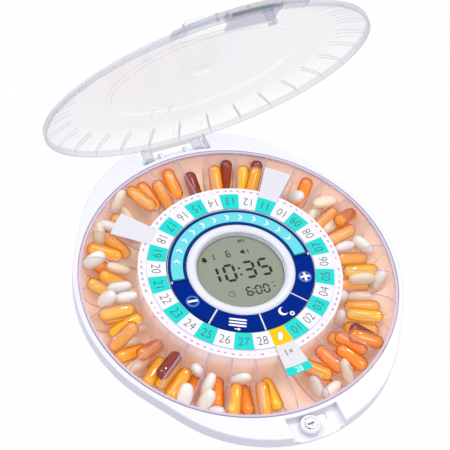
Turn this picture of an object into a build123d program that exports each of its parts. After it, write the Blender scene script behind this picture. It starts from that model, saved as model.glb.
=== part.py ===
from build123d import *
from math import acos, asin, cos, degrees, pi, radians, sin, sqrt, tan
import os

os.makedirs("parts", exist_ok=True)

# A 28-dose automatic pill dispenser, in millimetres.
# +Z is up, the front (lock side) is -Y, and the origin is on the tray's axis where the feet stand.
# The lid is modelled closed and then turned open on its hinge, as it rests in the photograph.

# ---------------------------------------------------------------- base outline and levels
flange_top = 40.0            # height of the flat top flange above the table
skirt_height = 9.0           # height of the upright skirt round the flange
side_margin = 3.8            # base past the tray's rim at its left and right sides
front_radius = 87.0          # radius of the bulge at the front
front_margin = 17.0          # front edge past the tray's rim
back_radius = 90.0           # radius of the bulge at the back
back_margin = 18.0           # back edge past the tray's rim
housing_wall = 2.0           # wall of the upper housing
edge_round = 0.8             # rounded top edge of the flange

# ---------------------------------------------------------------- tray
tray_radius = 100.0          # outer radius of the tray's rim
tray_wall = 1.4              # wall of the clear tray
tray_gap = 0.8               # running gap between the tray and its well
scoop_radius = 24.0          # outer radius of the rounded outer wall of the compartments
scoop_drop = 1.8             # upright stretch below the rim, before the rounding starts
hub_radius = 64.0            # outer radius of the tray's inner wall
cell_count = 29              # 28 doses and the home compartment
tray_rest_turn = 2.4         # degrees that the tray is turned at rest, counter-clockwise
divider_thickness = 1.0
divider_rise = 4.8           # height of the dividers' shoulder above the flange
divider_shoulder = 84.0      # radius where the dividers start to curve down to the rim
seat_clearance = 0.05        # glued seats between pieces of one body
bead_height = 0.5            # glide bead in the well, under the tray
bead_radius = 70.0
bead_width = 2.0

# ---------------------------------------------------------------- ring cards
dial_rise = 6.8              # height of the cards' top face above the flange
card_thickness = 0.3
card_pitch = 0.32            # from one stacked card to the next
card_inner = 46.9
card_outer = 58.5
tab_half_angle = 6.0         # half of a tab's angle
home_tab_radius = 80.0
blank_tab_radius = 84.5
first_blank_cell = 11
second_blank_cell = 18
ledge_inner = 46.5           # inner radius of the tray's ledge that carries the cards
ledge_thickness = 1.4

# ---------------------------------------------------------------- turret
turret_radius = 46.0
turret_wall = 2.2
rim_wall = 1.1               # thin rim round the key mat
key_rise = 0.2               # height of the keys' tops above the cards
key_thickness = 1.15
key_travel = 0.6
key_air = 0.05               # left under a fully pressed key
mat_thickness = 0.6
plate_thickness = 1.2        # the turret's top plate
ring_inner = 34.4            # inner radius of the keys and the cyan arc
key_outer = 45.9
arc_outer = 45.5
turret_turn = -5.0           # degrees that the keys and the arc are turned from the front
key_span = 89.5              # degrees from the turret's front to the keys' outer ends
key_split = 44.4             # degrees from the turret's front to the outer separators
separator_width = 1.1
separator_gap = 0.15
arc_gap = 1.5                # degrees from the keys' outer ends to the cyan arc
arc_below_keys = 0.1
stem_radius = 1.6
stem_clearance = 0.08        # running fit of a key's stem in its guide
stem_circle = 40.0
guide_wall = 1.3
guide_depth = 0.8
dome_radius = 4.2            # round domes on the plus and minus keys
dome_height = 0.6

bezel_outer = 34.0
bezel_inner = 28.3
bezel_rise = 1.2             # height of the bezel's crest above the keys
bezel_shoulder = 1.4
window_radius = 28.2
window_thickness = 1.6
window_seat = 27.6           # radius of the display opening in the top plate
display_size = 58.0          # square LCD glass
display_thickness = 2.6
display_gap = 0.2
holder_size = 61.0
holder_opening = 52.0

# ---------------------------------------------------------------- electronics
board_radius = 40.5
board_thickness = 1.6
board_depth = 5.0            # from the turret plate's top face to the board's top face
board_post_radius = 2.5
board_post_circle = 37.0
board_post_angles = (30.0, 150.0, 270.0)
screw_clearance = 0.2
small_shank = 1.0
small_head = 2.2
small_head_height = 1.5
small_screw_length = 5.0
switch_size = 6.0
switch_body = 1.6
switch_plunger = 0.75
switch_plunger_radius = 1.6
buzzer_radius = 6.5
buzzer_height = 5.0
buzzer_x = -20.0
buzzer_y = 20.0
tilt_radius = 2.6
tilt_length = 9.0
tilt_x = 22.0
tilt_y = 18.0

# ---------------------------------------------------------------- tray drive
ring_teeth = 116
pinion_teeth = 12
ring_setback = 3.1           # from the hub's wall to the ring gear's pitch circle
transfer_teeth = 18
small_teeth = 12
large_teeth = 40
motor_teeth = 12
train_module = 0.5
pressure_angle = 25.0
addendum_share = 0.8         # stub teeth, in modules
dedendum_share = 1.0
drive_backlash = 0.10        # taken off each tooth of the tray drive
train_backlash = 0.05        # taken off each tooth of the small train
shoulder_drop = 7.4          # from the ledge's underside to the housing's shoulder
gear_lift = 1.4              # ring gear above the shoulder
pinion_lift = 1.6
pinion_height = 5.2
ring_back_gap = 1.45         # from the hub's wall to the ring gear's outer face
shaft_radius = 1.5
axle_radius = 1.0
running_fit = 0.05           # radial clearance of shafts in their bores
bush_outer = 3.0
bush_length = 3.0
transfer_height = 3.0
wheel_height = 2.8
train_drop = 1.4             # from the shoulder's underside to the transfer gear
wheel_gap = 0.2
gear_plate_thickness = 2.0
gear_plate_drop = 2.2        # from the large wheel down to the gear plate
gear_plate_half_width = 19.0
gear_plate_front = 21.0
gear_plate_back = 57.0
post_x = 15.0
post_y = 50.0
post_radius = 2.8
motor_radius = 10.0
motor_length = 15.0
motor_screw_offset = 7.0
motor_boss = 2.6
sensor_angle = 150.0         # where the tray's position switch sits on the shoulder
sensor_circle = 52.5
sensor_width = 12.0
sensor_depth = 6.0
sensor_height = 5.0
sensor_nose = 3.8

# ---------------------------------------------------------------- bottom
foot_radius = 7.0
foot_seat = 0.6
foot_circle = 66.0
ground_gap = 3.0             # from the table to the bottom dish
dish_wall = 2.2
dish_bottom_radius = 79.0
dish_top_radius = 88.0
dish_top = 16.0
dish_clearance = 0.1
screw_circle = 72.0
screw_shank = 1.5
screw_head = 3.0
screw_head_height = 1.2
screw_boss_radius = 4.2
screw_length = 7.5
screw_angles = (0.0, 90.0, 180.0, 270.0)
cell_radius = 7.1            # AA cells
cell_length = 49.2
cell_nub = 1.0
cell_nub_radius = 2.7
cell_pitch = 14.8
cell_rows = 4
cell_lift = 0.3              # between the cells and the battery door
battery_y = -14.0
box_end_gap = 0.6
box_wall = 1.6
box_height = 15.0
contact_width = 9.0
contact_thickness = 0.4
door_margin = 2.5            # battery door overlap past the cells
door_gap = 0.25
door_thickness = 1.2
door_tongue = 6.0
door_screw_head = 0.7

# ---------------------------------------------------------------- lock
lock_x = -3.5
lock_setback = 9.6           # lock's axis past the tray's rim
recess_half_width = 17.0
recess_depth = 5.0
recess_setback = 3.1         # recess's curved back wall past the tray's rim
ledge_plate = 1.5            # thickness of the recess's floor
recess_cheek = 1.8
lip_out = 1.0                # the recess floor stands out past the skirt
lock_cap_radius = 6.2
lock_cap_height = 2.6
lock_body_radius = 4.4
lock_bore = 3.3
lock_plug_clearance = 0.06
lock_plug_rise = 0.6
lock_top_drop = 0.9          # the cap's top below the flange
key_slot_width = 1.3
key_slot_length = 4.6
key_slot_depth = 2.0
cam_thickness = 1.2
cam_gap = 0.15
cam_length = 9.5
cam_half_width = 1.8
cam_hub = 3.6
cam_rest_angle = -20.0
catch_x = 3.6
catch_width = 4.8
catch_post = 1.3
catch_setback = 7.4          # catch's front face past the tray's rim
catch_depth = 3.0
catch_window = 1.7
catch_bar = 0.9
catch_slot_gap = 0.7

# ---------------------------------------------------------------- hinge
hinge_setback = 6.6          # hinge's axis past the tray's rim
hinge_drop = 5.3             # hinge axis below the flange
pin_radius = 1.5
pin_half_length = 25.6
barrel_radius = 2.8
lug_x = 17.5
lug_half_width = 3.0
pocket_half_width = 24.0
pocket_setback = 3.1
pocket_cheek = 2.0
ear_x = 9.0
ear_half_width = 1.3
ear_radius = 3.4
hinge_plate_half = 21.0
hinge_plate_reach = 1.9      # plate past the hinge's axis
lid_open_angle = 69.0        # degrees from closed, as in the photograph

# ---------------------------------------------------------------- lid
lid_gap = 0.4                # closed lid above the flange
lid_wall = 1.8
lid_margin = 2.2             # lid past the tray's rim
lid_upright = 3.4
shoulder_width = 7.7         # from the lid's edge to the middle of its rounded shoulder
dome_mid_rise = 6.9
crown_inset = 22.2           # from the lid's edge to the end of the shoulder
dome_edge_rise = 10.2
disc_radius = 60.0
disc_edge_rise = 11.0
disc_step = 1.0
disc_crown = 13.0
rib_count = 29
rib_thickness = 0.8
rib_depth = 1.0
rib_inset = 17.2             # from the lid's edge to the ribs' inner ends
porch_side = 4.2             # raised box past the rails' ends
porch_roof = 11.5            # height of the raised box above the flange
porch_start = 1.0             # raised box and ribs above the lid's seat
window_left = -27.0
window_right = -3.0
window_front_inset = 19.2    # from the lid's edge to the window's front edge
window_length = 17.0         # front to back
pane_thickness = 1.2
pane_top_gap = 0.3
pane_margin = 1.5            # pane past the window on three sides
pane_length = 30.0
pane_grip = 1.2
pane_grip_width = 6.0
pane_grip_height = 5.0
pane_grip_gap = 0.3          # between the grip and the window's edge
rail_gap = 0.25
rail_web = 1.0
rail_lip = 0.6
rail_reach = 1.2
lip_left = -46.0             # ends of the lip at the front
lip_right = 32.5
lip_thickness = 1.8
lip_inset = 3.0
label_start = -96.5
label_end = -83.5
label_thickness = 0.2
label_gap = 0.6              # from the lid's edge to the strip
label_width = 3.4
clip_x = -17.0               # small U-shaped boss under the dome
clip_y = 44.0
clip_width = 13.0
clip_length = 10.0
clip_wall = 1.2
clip_depth = 2.6

# ---------------------------------------------------------------- derived levels
skirt_bottom = flange_top - skirt_height
scoop_centre = tray_radius - scoop_radius
scoop_level = flange_top - scoop_drop
tray_underside = scoop_level - scoop_radius
well_radius = tray_radius + tray_gap
well_floor = tray_underside - tray_gap
card_top = flange_top + dial_rise
ledge_top = card_top - 3 * card_pitch
ledge_underside = ledge_top - ledge_thickness
shoulder_top = ledge_underside - shoulder_drop
shoulder_under = shoulder_top - housing_wall
riser_radius = hub_radius - tray_wall - tray_gap + 0.1
turret_front = turret_turn - 90     # direction of the turret's front
arc_start = key_span + arc_gap
key_top = card_top + key_rise
key_bottom = key_top - key_thickness
mat_top = key_bottom - key_travel - key_air
plate_top = mat_top - mat_thickness
plate_bottom = plate_top - plate_thickness
board_top = plate_top - board_depth
board_bottom = board_top - board_thickness
dish_floor = ground_gap + dish_wall
hinge_z = flange_top - hinge_drop
lid_seat = flange_top + lid_gap
side_radius = tray_radius + side_margin
front_offset = tray_radius + front_margin - front_radius
back_offset = tray_radius + back_margin - back_radius
lock_y = -tray_radius - lock_setback
recess_inner = tray_radius + recess_setback
catch_y = -tray_radius - catch_setback
hinge_y = tray_radius + hinge_setback
pocket_inner = tray_radius + pocket_setback
hinge_plate_end = hinge_y + hinge_plate_reach
lid_radius = tray_radius + lid_margin
dome_mid_radius = lid_radius - shoulder_width
dome_edge_radius = lid_radius - crown_inset
rib_inner = lid_radius - rib_inset
window_front = window_front_inset - lid_radius
window_back = window_front + window_length
pane_left = window_right - pane_grip_gap - pane_grip
rail_front = window_front - pane_margin - rail_gap
rail_back = window_back + pane_margin + rail_gap
porch_front = rail_front - rail_web - seat_clearance - lid_wall
porch_back = rail_back + rail_web + seat_clearance + lid_wall
porch_left = window_left - pane_margin - porch_side
porch_right = pane_left + pane_length + porch_side
floor_top = flange_top - recess_depth
floor_bottom = floor_top - ledge_plate

ring_back_radius = hub_radius - ring_back_gap
ring_pitch_radius = hub_radius - ring_setback
drive_module = 2 * ring_pitch_radius / ring_teeth
drive_y = (ring_teeth - pinion_teeth) * drive_module / 2
compound_y = drive_y - (transfer_teeth + small_teeth) * train_module / 2
motor_y = compound_y - (large_teeth + motor_teeth) * train_module / 2
transfer_top = shoulder_under - train_drop
transfer_bottom = transfer_top - transfer_height
wheel_top = transfer_bottom - wheel_gap
wheel_bottom = wheel_top - wheel_height
gear_plate_top = wheel_bottom - gear_plate_drop
gear_plate_bottom = gear_plate_top - gear_plate_thickness

ABOVE = (Align.CENTER, Align.CENTER, Align.MIN)


# ---------------------------------------------------------------- helpers
def rod(radius, bottom, top, x=0.0, y=0.0):
    """Upright cylinder between two heights."""
    return Pos(x, y, bottom) * Cylinder(radius, top - bottom, align=ABOVE)


def ring(outer, inner, bottom, top, x=0.0, y=0.0):
    """Upright tube between two heights."""
    over = 1.0
    return rod(outer, bottom, top, x, y) - rod(inner, bottom - over, top + over, x, y)


def block(x0, x1, y0, y1, z0, z1):
    """Box given by its limits."""
    return Pos(x0, y0, z0) * Box(x1 - x0, y1 - y0, z1 - z0, align=(Align.MIN, Align.MIN, Align.MIN))


def polar(radius, angle):
    """Point of the plan at a radius and an angle in degrees."""
    return (radius * cos(radians(angle)), radius * sin(radians(angle)))


def prism(outline, bottom, top):
    """Closed plan outline, as a list of edges, made solid between two heights."""
    return extrude(Pos(0, 0, bottom) * make_face(outline), amount=top - bottom, dir=(0, 0, 1))


def sector(inner, outer, start, end, bottom, top):
    """Part of a flat ring between two angles in degrees."""
    outline = [
        CenterArc((0, 0), outer, start, end - start),
        Line(polar(outer, end), polar(inner, end)),
        CenterArc((0, 0), inner, start, end - start),
        Line(polar(inner, start), polar(outer, start)),
    ]
    return prism(outline, bottom, top)


def base_outline(inset):
    """Plan of the base: the side circle drawn out by tangents to the front and back bulges."""
    front = degrees(asin((side_radius - front_radius) / front_offset))
    back = degrees(asin((side_radius - back_radius) / back_offset))
    side = side_radius - inset
    ahead = front_radius - inset
    behind = back_radius - inset
    right_front = (ahead * cos(radians(front)), -front_offset - ahead * sin(radians(front)))
    right_back = (behind * cos(radians(back)), back_offset + behind * sin(radians(back)))
    left_front = (-right_front[0], right_front[1])
    left_back = (-right_back[0], right_back[1])
    return [
        CenterArc((0, 0), side, -front, front + back),
        Line(polar(side, back), right_back),
        CenterArc((0, back_offset), behind, back, 180 - 2 * back),
        Line(left_back, polar(side, 180 - back)),
        CenterArc((0, 0), side, 180 - back, front + back),
        Line(polar(side, 180 + front), left_front),
        CenterArc((0, -front_offset), ahead, 180 + front, 180 - 2 * front),
        Line(right_front, polar(side, -front)),
    ]


def turned(edges):
    """Solid turned about the Z axis from a closed profile in the XZ plane."""
    return revolve(make_face(edges), Axis.Z)


def chain(points):
    """Straight edges through (radius, height) points of a profile."""
    return [Line((a[0], 0, a[1]), (b[0], 0, b[1])) for a, b in zip(points, points[1:])]


def scoop_arc(radius):
    """Quarter arc of a compartment's rounded outer wall, from its top to its bottom."""
    middle = radians(45)
    return ThreePointArc(
        (scoop_centre + radius, 0, scoop_level),
        (scoop_centre + radius * cos(middle), 0, scoop_level - radius * sin(middle)),
        (scoop_centre, 0, scoop_level - radius),
    )


def screw(shank, head, head_bottom, head_height, length, x, y):
    """Screw driven in from below: head under, shank up."""
    body = rod(head, head_bottom, head_bottom + head_height, x, y)
    return body + rod(shank, head_bottom + head_height, head_bottom + head_height + length, x, y)


def opened(shape):
    """A closed-lid shape turned open about the hinge axis."""
    return shape.rotate(Axis((0, hinge_y, hinge_z), (-1, 0, 0)), lid_open_angle)


# ---------------------------------------------------------------- gears
def involute(angle):
    """Involute function of a pressure angle in radians."""
    return tan(angle) - angle


def gear_points(teeth, module, addendum, dedendum, thinning, tooth_angle, flank_steps):
    """Outline points of an external involute gear with a tooth centred at tooth_angle degrees."""
    pressure = radians(pressure_angle)
    pitch = teeth * module / 2
    base = pitch * cos(pressure)
    tip = pitch + addendum
    root = pitch - dedendum
    start = max(base, root)
    half_at_pitch = pi / (2 * teeth) - thinning / (2 * pitch)
    flank = []
    for step in range(flank_steps + 1):
        radius = start + (tip - start) * step / flank_steps
        opening = acos(min(1.0, base / radius))
        flank.append((radius, half_at_pitch + involute(pressure) - involute(opening)))
    if root < base:
        flank.insert(0, (root, flank[0][1]))
    points = []
    for tooth in range(teeth):
        centre = radians(tooth_angle) + 2 * pi * tooth / teeth
        rising = [(radius, centre - half) for radius, half in flank]
        falling = [(radius, centre + half) for radius, half in reversed(flank)]
        points += [(radius * cos(a), radius * sin(a)) for radius, a in rising + falling]
    return points


def spur(teeth, module, thinning, tooth_angle, bottom, top, y):
    """External gear on an upright axis at (0, y)."""
    points = gear_points(teeth, module, addendum_share * module, dedendum_share * module, thinning, tooth_angle, 4)
    edges = Polyline(*[(px, py + y) for px, py in points], close=True)
    return prism(edges, bottom, top)


def make_ring_gear():
    """Internal gear glued inside the tray's inner wall, in mesh with the drive pinion at the back."""
    bottom = shoulder_top + gear_lift
    top = ledge_underside - seat_clearance
    points = gear_points(
        ring_teeth,
        drive_module,
        dedendum_share * drive_module,
        addendum_share * drive_module,
        -drive_backlash,
        90.0,
        3,
    )
    over = 1.0
    space = prism(Polyline(*points, close=True), bottom - over, top + over)
    return rod(ring_back_radius, bottom, top) - space


# ---------------------------------------------------------------- base
def make_upper_housing():
    """Flange, skirt, tray well, shoulder and turret, with the lock and hinge pockets."""
    wall = housing_wall
    flange = prism(base_outline(0), skirt_bottom, flange_top)
    top_edges = flange.faces().sort_by(Axis.Z)[-1].edges()
    flange = fillet(top_edges, edge_round)
    flange -= prism(base_outline(wall), skirt_bottom - 1, flange_top - wall)
    flange -= rod(well_radius, skirt_bottom - 1, flange_top + 1)

    inner_top = riser_radius - wall
    profile = [
        *chain([(well_radius + wall, scoop_level), (well_radius + wall, flange_top - edge_round)]),
        *chain([(well_radius + wall, flange_top - edge_round), (well_radius, flange_top - edge_round)]),
        *chain([(well_radius, flange_top - edge_round), (well_radius, scoop_level)]),
        scoop_arc(scoop_radius + tray_gap),
        *chain([(scoop_centre, well_floor), (riser_radius, well_floor), (riser_radius, shoulder_top),
                (turret_radius, shoulder_top), (turret_radius, mat_top), (turret_radius - rim_wall, mat_top),
                (turret_radius - rim_wall, plate_top), (window_seat, plate_top), (window_seat, plate_bottom),
                (turret_radius - turret_wall, plate_bottom), (turret_radius - turret_wall, shoulder_under),
                (inner_top, shoulder_under), (inner_top, well_floor - wall), (scoop_centre, well_floor - wall)]),
        scoop_arc(scoop_radius + tray_gap + wall),
    ]
    housing = flange + turned(profile)
    housing += ring(bead_radius + bead_width / 2, bead_radius - bead_width / 2, well_floor - wall / 2,
                    well_floor + bead_height)

    for angle in (0.0, key_split, -key_split):
        rib = block(ring_inner - 0.2, key_outer, -separator_width / 2, separator_width / 2,
                    plate_top - plate_thickness / 2, key_top - key_travel - key_air)
        housing += Rot(0, 0, turret_front + angle) * rib
    for angle in board_post_angles:
        x, y = polar(board_post_circle, angle)
        post = rod(board_post_radius, board_top, plate_bottom + plate_thickness / 2, x, y)
        housing += post - rod(small_shank, board_top - 1, plate_bottom, x, y)
    for angle in key_angles():
        x, y = polar(stem_circle, angle)
        housing += rod(stem_radius + guide_wall, plate_bottom - guide_depth, plate_top - plate_thickness / 2, x, y)
        housing -= rod(stem_radius + stem_clearance, plate_bottom - guide_depth - 1, plate_top + 1, x, y)
    for x in (-post_x, post_x):
        housing += rod(post_radius, gear_plate_top, shoulder_under + wall / 2, x, post_y)
        housing -= rod(small_shank, gear_plate_top - 1, gear_plate_top + small_screw_length, x, post_y)
    for angle in screw_angles:
        x, y = polar(screw_circle, angle)
        housing += rod(screw_boss_radius, dish_floor, well_floor - wall / 2, x, y)
        housing -= rod(screw_shank, dish_floor - 1, well_floor - wall / 2, x, y)
    housing -= rod(bush_outer, shoulder_under - 1, shoulder_top + 1, 0, drive_y)
    housing = cut_lock_recess(housing)
    return cut_hinge_pocket(housing)


def cut_lock_recess(housing):
    """Recess at the front: a lower floor with the lock's hole and the catch's slot."""
    far = front_offset + front_radius + 10
    half = recess_half_width
    housing -= block(-half, half, -far, 0, floor_top, flange_top + 1) - rod(recess_inner, 0, flange_top + 2)
    keep = block(-half - recess_cheek, half + recess_cheek, -far, 0, skirt_bottom, flange_top - edge_round)
    cheeks = keep - block(-half, half, -far - 1, 1, skirt_bottom - 1, flange_top + 1)
    cheeks = (cheeks - rod(recess_inner - 0.6, 0, flange_top + 2)) & prism(base_outline(edge_round), 0, flange_top)
    floor = block(-half - 1, half + 1, -far, 0, floor_bottom, floor_top) - rod(recess_inner - 0.6, 0, flange_top)
    floor = floor & prism(base_outline(0.2), 0, flange_top)
    lip = block(-half + 4, half - 4, -far, 0, floor_bottom, floor_top) - rod(recess_inner + 4, 0, flange_top)
    lip = lip & prism(base_outline(-lip_out), 0, flange_top)
    housing = housing + cheeks + floor + lip
    housing -= rod(lock_body_radius + seat_clearance, skirt_bottom - 1, flange_top, lock_x, lock_y)
    gap = catch_slot_gap
    slot = block(catch_x - gap, catch_x + catch_width + gap, catch_y - gap, catch_y + catch_depth + gap,
                 floor_bottom - 1, floor_top + 1)
    return housing - slot


def cut_hinge_pocket(housing):
    """Notch at the back with side cheeks and two ears that carry the hinge pin."""
    far = back_offset + back_radius + 10
    half = pocket_half_width
    pocket = block(-half, half, 0, far, skirt_bottom - 1, flange_top + 1) - rod(pocket_inner, 0, flange_top + 2)
    housing -= pocket
    cheek_box = block(-half - pocket_cheek, half + pocket_cheek, 0, far, skirt_bottom, flange_top - edge_round)
    cheeks = cheek_box - block(-half, half, -1, far + 1, skirt_bottom - 1, flange_top + 1)
    cheeks = (cheeks - rod(pocket_inner - 0.6, 0, flange_top + 2)) & prism(base_outline(edge_round), 0, flange_top)
    housing += cheeks
    for x in (-ear_x, ear_x):
        knuckle = Pos(x, hinge_y, hinge_z) * Rot(0, 90, 0) * Cylinder(ear_radius, 2 * ear_half_width)
        web = block(x - ear_half_width, x + ear_half_width, well_radius, hinge_y, hinge_z - ear_radius,
                    hinge_z + ear_radius)
        web -= rod(pocket_inner - 1.0, 0, flange_top)
        housing += knuckle + web
    bore = Pos(0, hinge_y, hinge_z) * Rot(0, 90, 0) * Cylinder(pin_radius, 2 * pin_half_length)
    return housing - bore


def make_lower_housing():
    """Bottom dish with the battery box, the door's opening and the seats of feet and screws."""
    wall = dish_wall
    slope = (dish_top_radius - dish_bottom_radius) / (dish_top - ground_gap)
    profile = chain([
        (0, ground_gap), (dish_bottom_radius, ground_gap), (dish_top_radius, dish_top),
        (dish_top_radius - wall, dish_top), (dish_bottom_radius - wall + slope * wall, dish_floor),
        (0, dish_floor), (0, ground_gap),
    ])
    dish = turned(profile)
    bowl = [
        *chain([(0, dish_top + 5), (0, well_floor - housing_wall - dish_clearance)]),
        *chain([(0, well_floor - housing_wall - dish_clearance),
                (scoop_centre, well_floor - housing_wall - dish_clearance)]),
        ThreePointArc(
            (scoop_centre, 0, well_floor - housing_wall - dish_clearance),
            (scoop_centre + bowl_radius() * sin(radians(30)), 0, scoop_level - bowl_radius() * cos(radians(30))),
            (scoop_centre + bowl_radius() * sin(radians(60)), 0, scoop_level - bowl_radius() * cos(radians(60))),
        ),
        *chain([(scoop_centre + bowl_radius() * sin(radians(60)), scoop_level - bowl_radius() * cos(radians(60))),
                (0, dish_top + 5)]),
    ]
    dish -= turned(bowl)
    inner_x, front_y, back_y = battery_box()
    walls = block(-inner_x - box_wall, inner_x + box_wall, front_y - box_wall, back_y + box_wall,
                  dish_floor - wall / 2, dish_floor + box_height)
    dish += walls
    dish -= block(-inner_x, inner_x, front_y, back_y, ground_gap - 1, dish_floor + box_height + 1)
    door = door_limits()
    rebate = ground_gap + door_thickness + door_gap
    dish -= block(door[0] - door_gap, door[1] + door_gap, door[2] - door_gap, door[3] + door_gap,
                  ground_gap - 1, rebate)
    x, y = door_screw_place()
    dish += rod(post_radius + 1, rebate, dish_floor + small_screw_length + 1, x, y)
    dish -= rod(small_shank, ground_gap - 1, rebate + small_screw_length, x, y)
    for x, y in foot_places():
        dish -= rod(foot_radius + seat_clearance, ground_gap - 1, ground_gap + foot_seat, x, y)
    for angle in screw_angles:
        x, y = polar(screw_circle, angle)
        dish -= rod(screw_head + screw_clearance, ground_gap - 1, ground_gap + screw_head_height, x, y)
        dish -= rod(screw_shank + screw_clearance, ground_gap - 1, dish_floor + 1, x, y)
    return dish


def bowl_radius():
    """Outer radius of the well's rounded underside, with the dish's clearance."""
    return scoop_radius + tray_gap + housing_wall + dish_clearance


def battery_box():
    """Half width, front and back of the space for the cells."""
    half_width = cell_pitch * cell_rows / 2 + 0.3
    half_length = (cell_length + cell_nub) / 2 + box_end_gap
    return half_width, battery_y - half_length, battery_y + half_length


def door_limits():
    """Plan limits of the battery door: left, right, front, back."""
    half_width, front_y, back_y = battery_box()
    return (-half_width - door_margin, half_width + door_margin, front_y - door_margin - door_tongue, back_y + door_margin)


def door_screw_place():
    """Centre of the battery door's screw, in its front tongue."""
    half_width, front_y, back_y = battery_box()
    return 0.0, front_y - box_wall - post_radius - 1.5


def foot_places():
    """Centres of the four feet."""
    return [polar(foot_circle, angle) for angle in (45.0, 135.0, 225.0, 315.0)]


def key_angles():
    """Mid angles of the four keys: minus, menu, sleep, plus."""
    outer = (key_split + key_span) / 2
    inner = key_split / 2
    return [turret_front - outer, turret_front - inner, turret_front + inner, turret_front + outer]


def make_feet():
    return Compound(children=[rod(foot_radius, 0, ground_gap + foot_seat, x, y) for x, y in foot_places()])


def make_housing_screws():
    places = [polar(screw_circle, angle) for angle in screw_angles]
    return Compound(children=[
        screw(screw_shank, screw_head, ground_gap, screw_head_height, screw_length, x, y) for x, y in places
    ])


def make_battery_door():
    left, right, front, back = door_limits()
    door = block(left, right, front, back, ground_gap, ground_gap + door_thickness)
    x, y = door_screw_place()
    door -= rod(small_shank + screw_clearance, 0, dish_floor, x, y)
    door -= rod(small_head + screw_clearance, 0, ground_gap + door_screw_head, x, y)
    for rib in (-1.5, 0.0, 1.5):
        door -= block(-6, 6, back - 8 + rib * 2, back - 7.2 + rib * 2, ground_gap - 1, ground_gap + 0.5)
    return door


def make_door_screw():
    x, y = door_screw_place()
    return screw(small_shank, small_head, ground_gap, door_screw_head, small_screw_length, x, y)


def cell_places():
    """Centres of the AA cells along X, with the way that each one points."""
    first = -cell_pitch * (cell_rows - 1) / 2
    return [(first + cell_pitch * row, 1 if row % 2 == 0 else -1) for row in range(cell_rows)]


def make_cell(x, way):
    """One AA cell lying along Y."""
    z = ground_gap + door_thickness + door_gap + cell_lift + cell_radius
    can = Pos(x, battery_y - way * cell_nub / 2, z) * Rot(90, 0, 0) * Cylinder(cell_radius, cell_length)
    nub_y = battery_y + way * cell_length / 2
    nub = Pos(x, nub_y, z) * Rot(90, 0, 0) * Cylinder(cell_nub_radius, cell_nub)
    return can + nub


def make_contacts():
    """Flat contact plates on the end walls of the battery box."""
    half_width, front_y, back_y = battery_box()
    z = ground_gap + door_thickness + door_gap + cell_lift + cell_radius
    half = contact_width / 2
    plates = []
    for x, way in cell_places():
        plates.append(block(x - half, x + half, front_y, front_y + contact_thickness, z - half, z + half))
        plates.append(block(x - half, x + half, back_y - contact_thickness, back_y, z - half, z + half))
    return Compound(children=plates)


# ---------------------------------------------------------------- turret and electronics
def make_board():
    board = rod(board_radius, board_bottom, board_top)
    for angle in board_post_angles:
        x, y = polar(board_post_circle, angle)
        board -= rod(small_shank + screw_clearance, board_bottom - 1, board_top + 1, x, y)
    return board


def make_board_screws():
    places = [polar(board_post_circle, angle) for angle in board_post_angles]
    length = board_thickness + plate_bottom - board_top
    return Compound(children=[
        screw(small_shank, small_head, board_bottom - small_head_height, small_head_height, length, x, y)
        for x, y in places
    ])


def make_switches():
    """Tact switches on the board, one under each key's stem."""
    half = switch_size / 2
    switches = []
    for angle in key_angles():
        x, y = polar(stem_circle, angle)
        body = Rot(0, 0, angle) * block(stem_circle - half, stem_circle + half, -half, half, board_top,
                                        board_top + switch_body)
        body = body & rod(board_radius, board_top, board_top + switch_body)
        switches.append(body + rod(switch_plunger_radius, board_top + switch_body,
                                   board_top + switch_body + switch_plunger, x, y))
    return Compound(children=switches)


def make_display_holder():
    """Frame that carries the display's glass on the board."""
    half = holder_size / 2
    opening = holder_opening / 2
    top = plate_bottom - display_gap - display_thickness
    frame = block(-half, half, -half, half, board_top, top)
    frame -= block(-opening, opening, -opening, opening, board_top - 1, top + 1)
    frame = frame & rod(board_radius, board_top, top)
    for angle in board_post_angles:
        x, y = polar(board_post_circle, angle)
        frame -= rod(board_post_radius + screw_clearance, board_top - 1, top + 1, x, y)
    return frame


def make_display():
    half = display_size / 2
    top = plate_bottom - display_gap
    return block(-half, half, -half, half, top - display_thickness, top)


def make_window():
    top = plate_top + window_thickness
    lens = rod(window_radius, plate_top, top)
    return chamfer(lens.faces().sort_by(Axis.Z)[-1].edges(), 0.3)


def make_bezel():
    """White ring round the display with a rounded crest."""
    crest = key_top + bezel_rise
    shoulder = key_top + bezel_rise - bezel_shoulder
    profile = [
        *chain([(bezel_inner, plate_top), (bezel_outer, plate_top), (bezel_outer, shoulder)]),
        ThreePointArc(
            (bezel_outer, 0, shoulder),
            ((bezel_outer + bezel_inner) / 2, 0, crest),
            (bezel_inner, 0, shoulder),
        ),
        *chain([(bezel_inner, shoulder), (bezel_inner, plate_top)]),
    ]
    return turned(profile)


def make_arc_panel():
    """Cyan arc over the back half of the turret."""
    start = turret_front + arc_start
    end = turret_front + 360 - arc_start
    return sector(ring_inner, arc_outer, start, end, mat_top, key_top - arc_below_keys)


def make_key_mat():
    """Silicone sheet under the keys, with a hole for each stem."""
    inner = bezel_outer + 0.3
    outer = turret_radius - rim_wall - 0.1
    mat = sector(inner, outer, turret_front - key_span, turret_front + key_span, plate_top, mat_top)
    for angle in key_angles():
        x, y = polar(stem_circle, angle)
        mat -= rod(stem_radius + 0.4, plate_top - 1, mat_top + 1, x, y)
    for angle in (0.0, key_split, -key_split):
        slot = separator_width / 2 + separator_gap
        gap = block(ring_inner - 0.6, turret_radius, -slot, slot, plate_top - 1, mat_top + 1)
        mat -= Rot(0, 0, turret_front + angle) * gap
    return mat


def make_arc_base():
    """Plain spacer sheet under the cyan arc."""
    inner = bezel_outer + 0.3
    outer = turret_radius - rim_wall - 0.1
    start = turret_front + arc_start
    end = turret_front + 360 - arc_start
    return sector(inner, outer, start, end, plate_top, mat_top)


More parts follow.
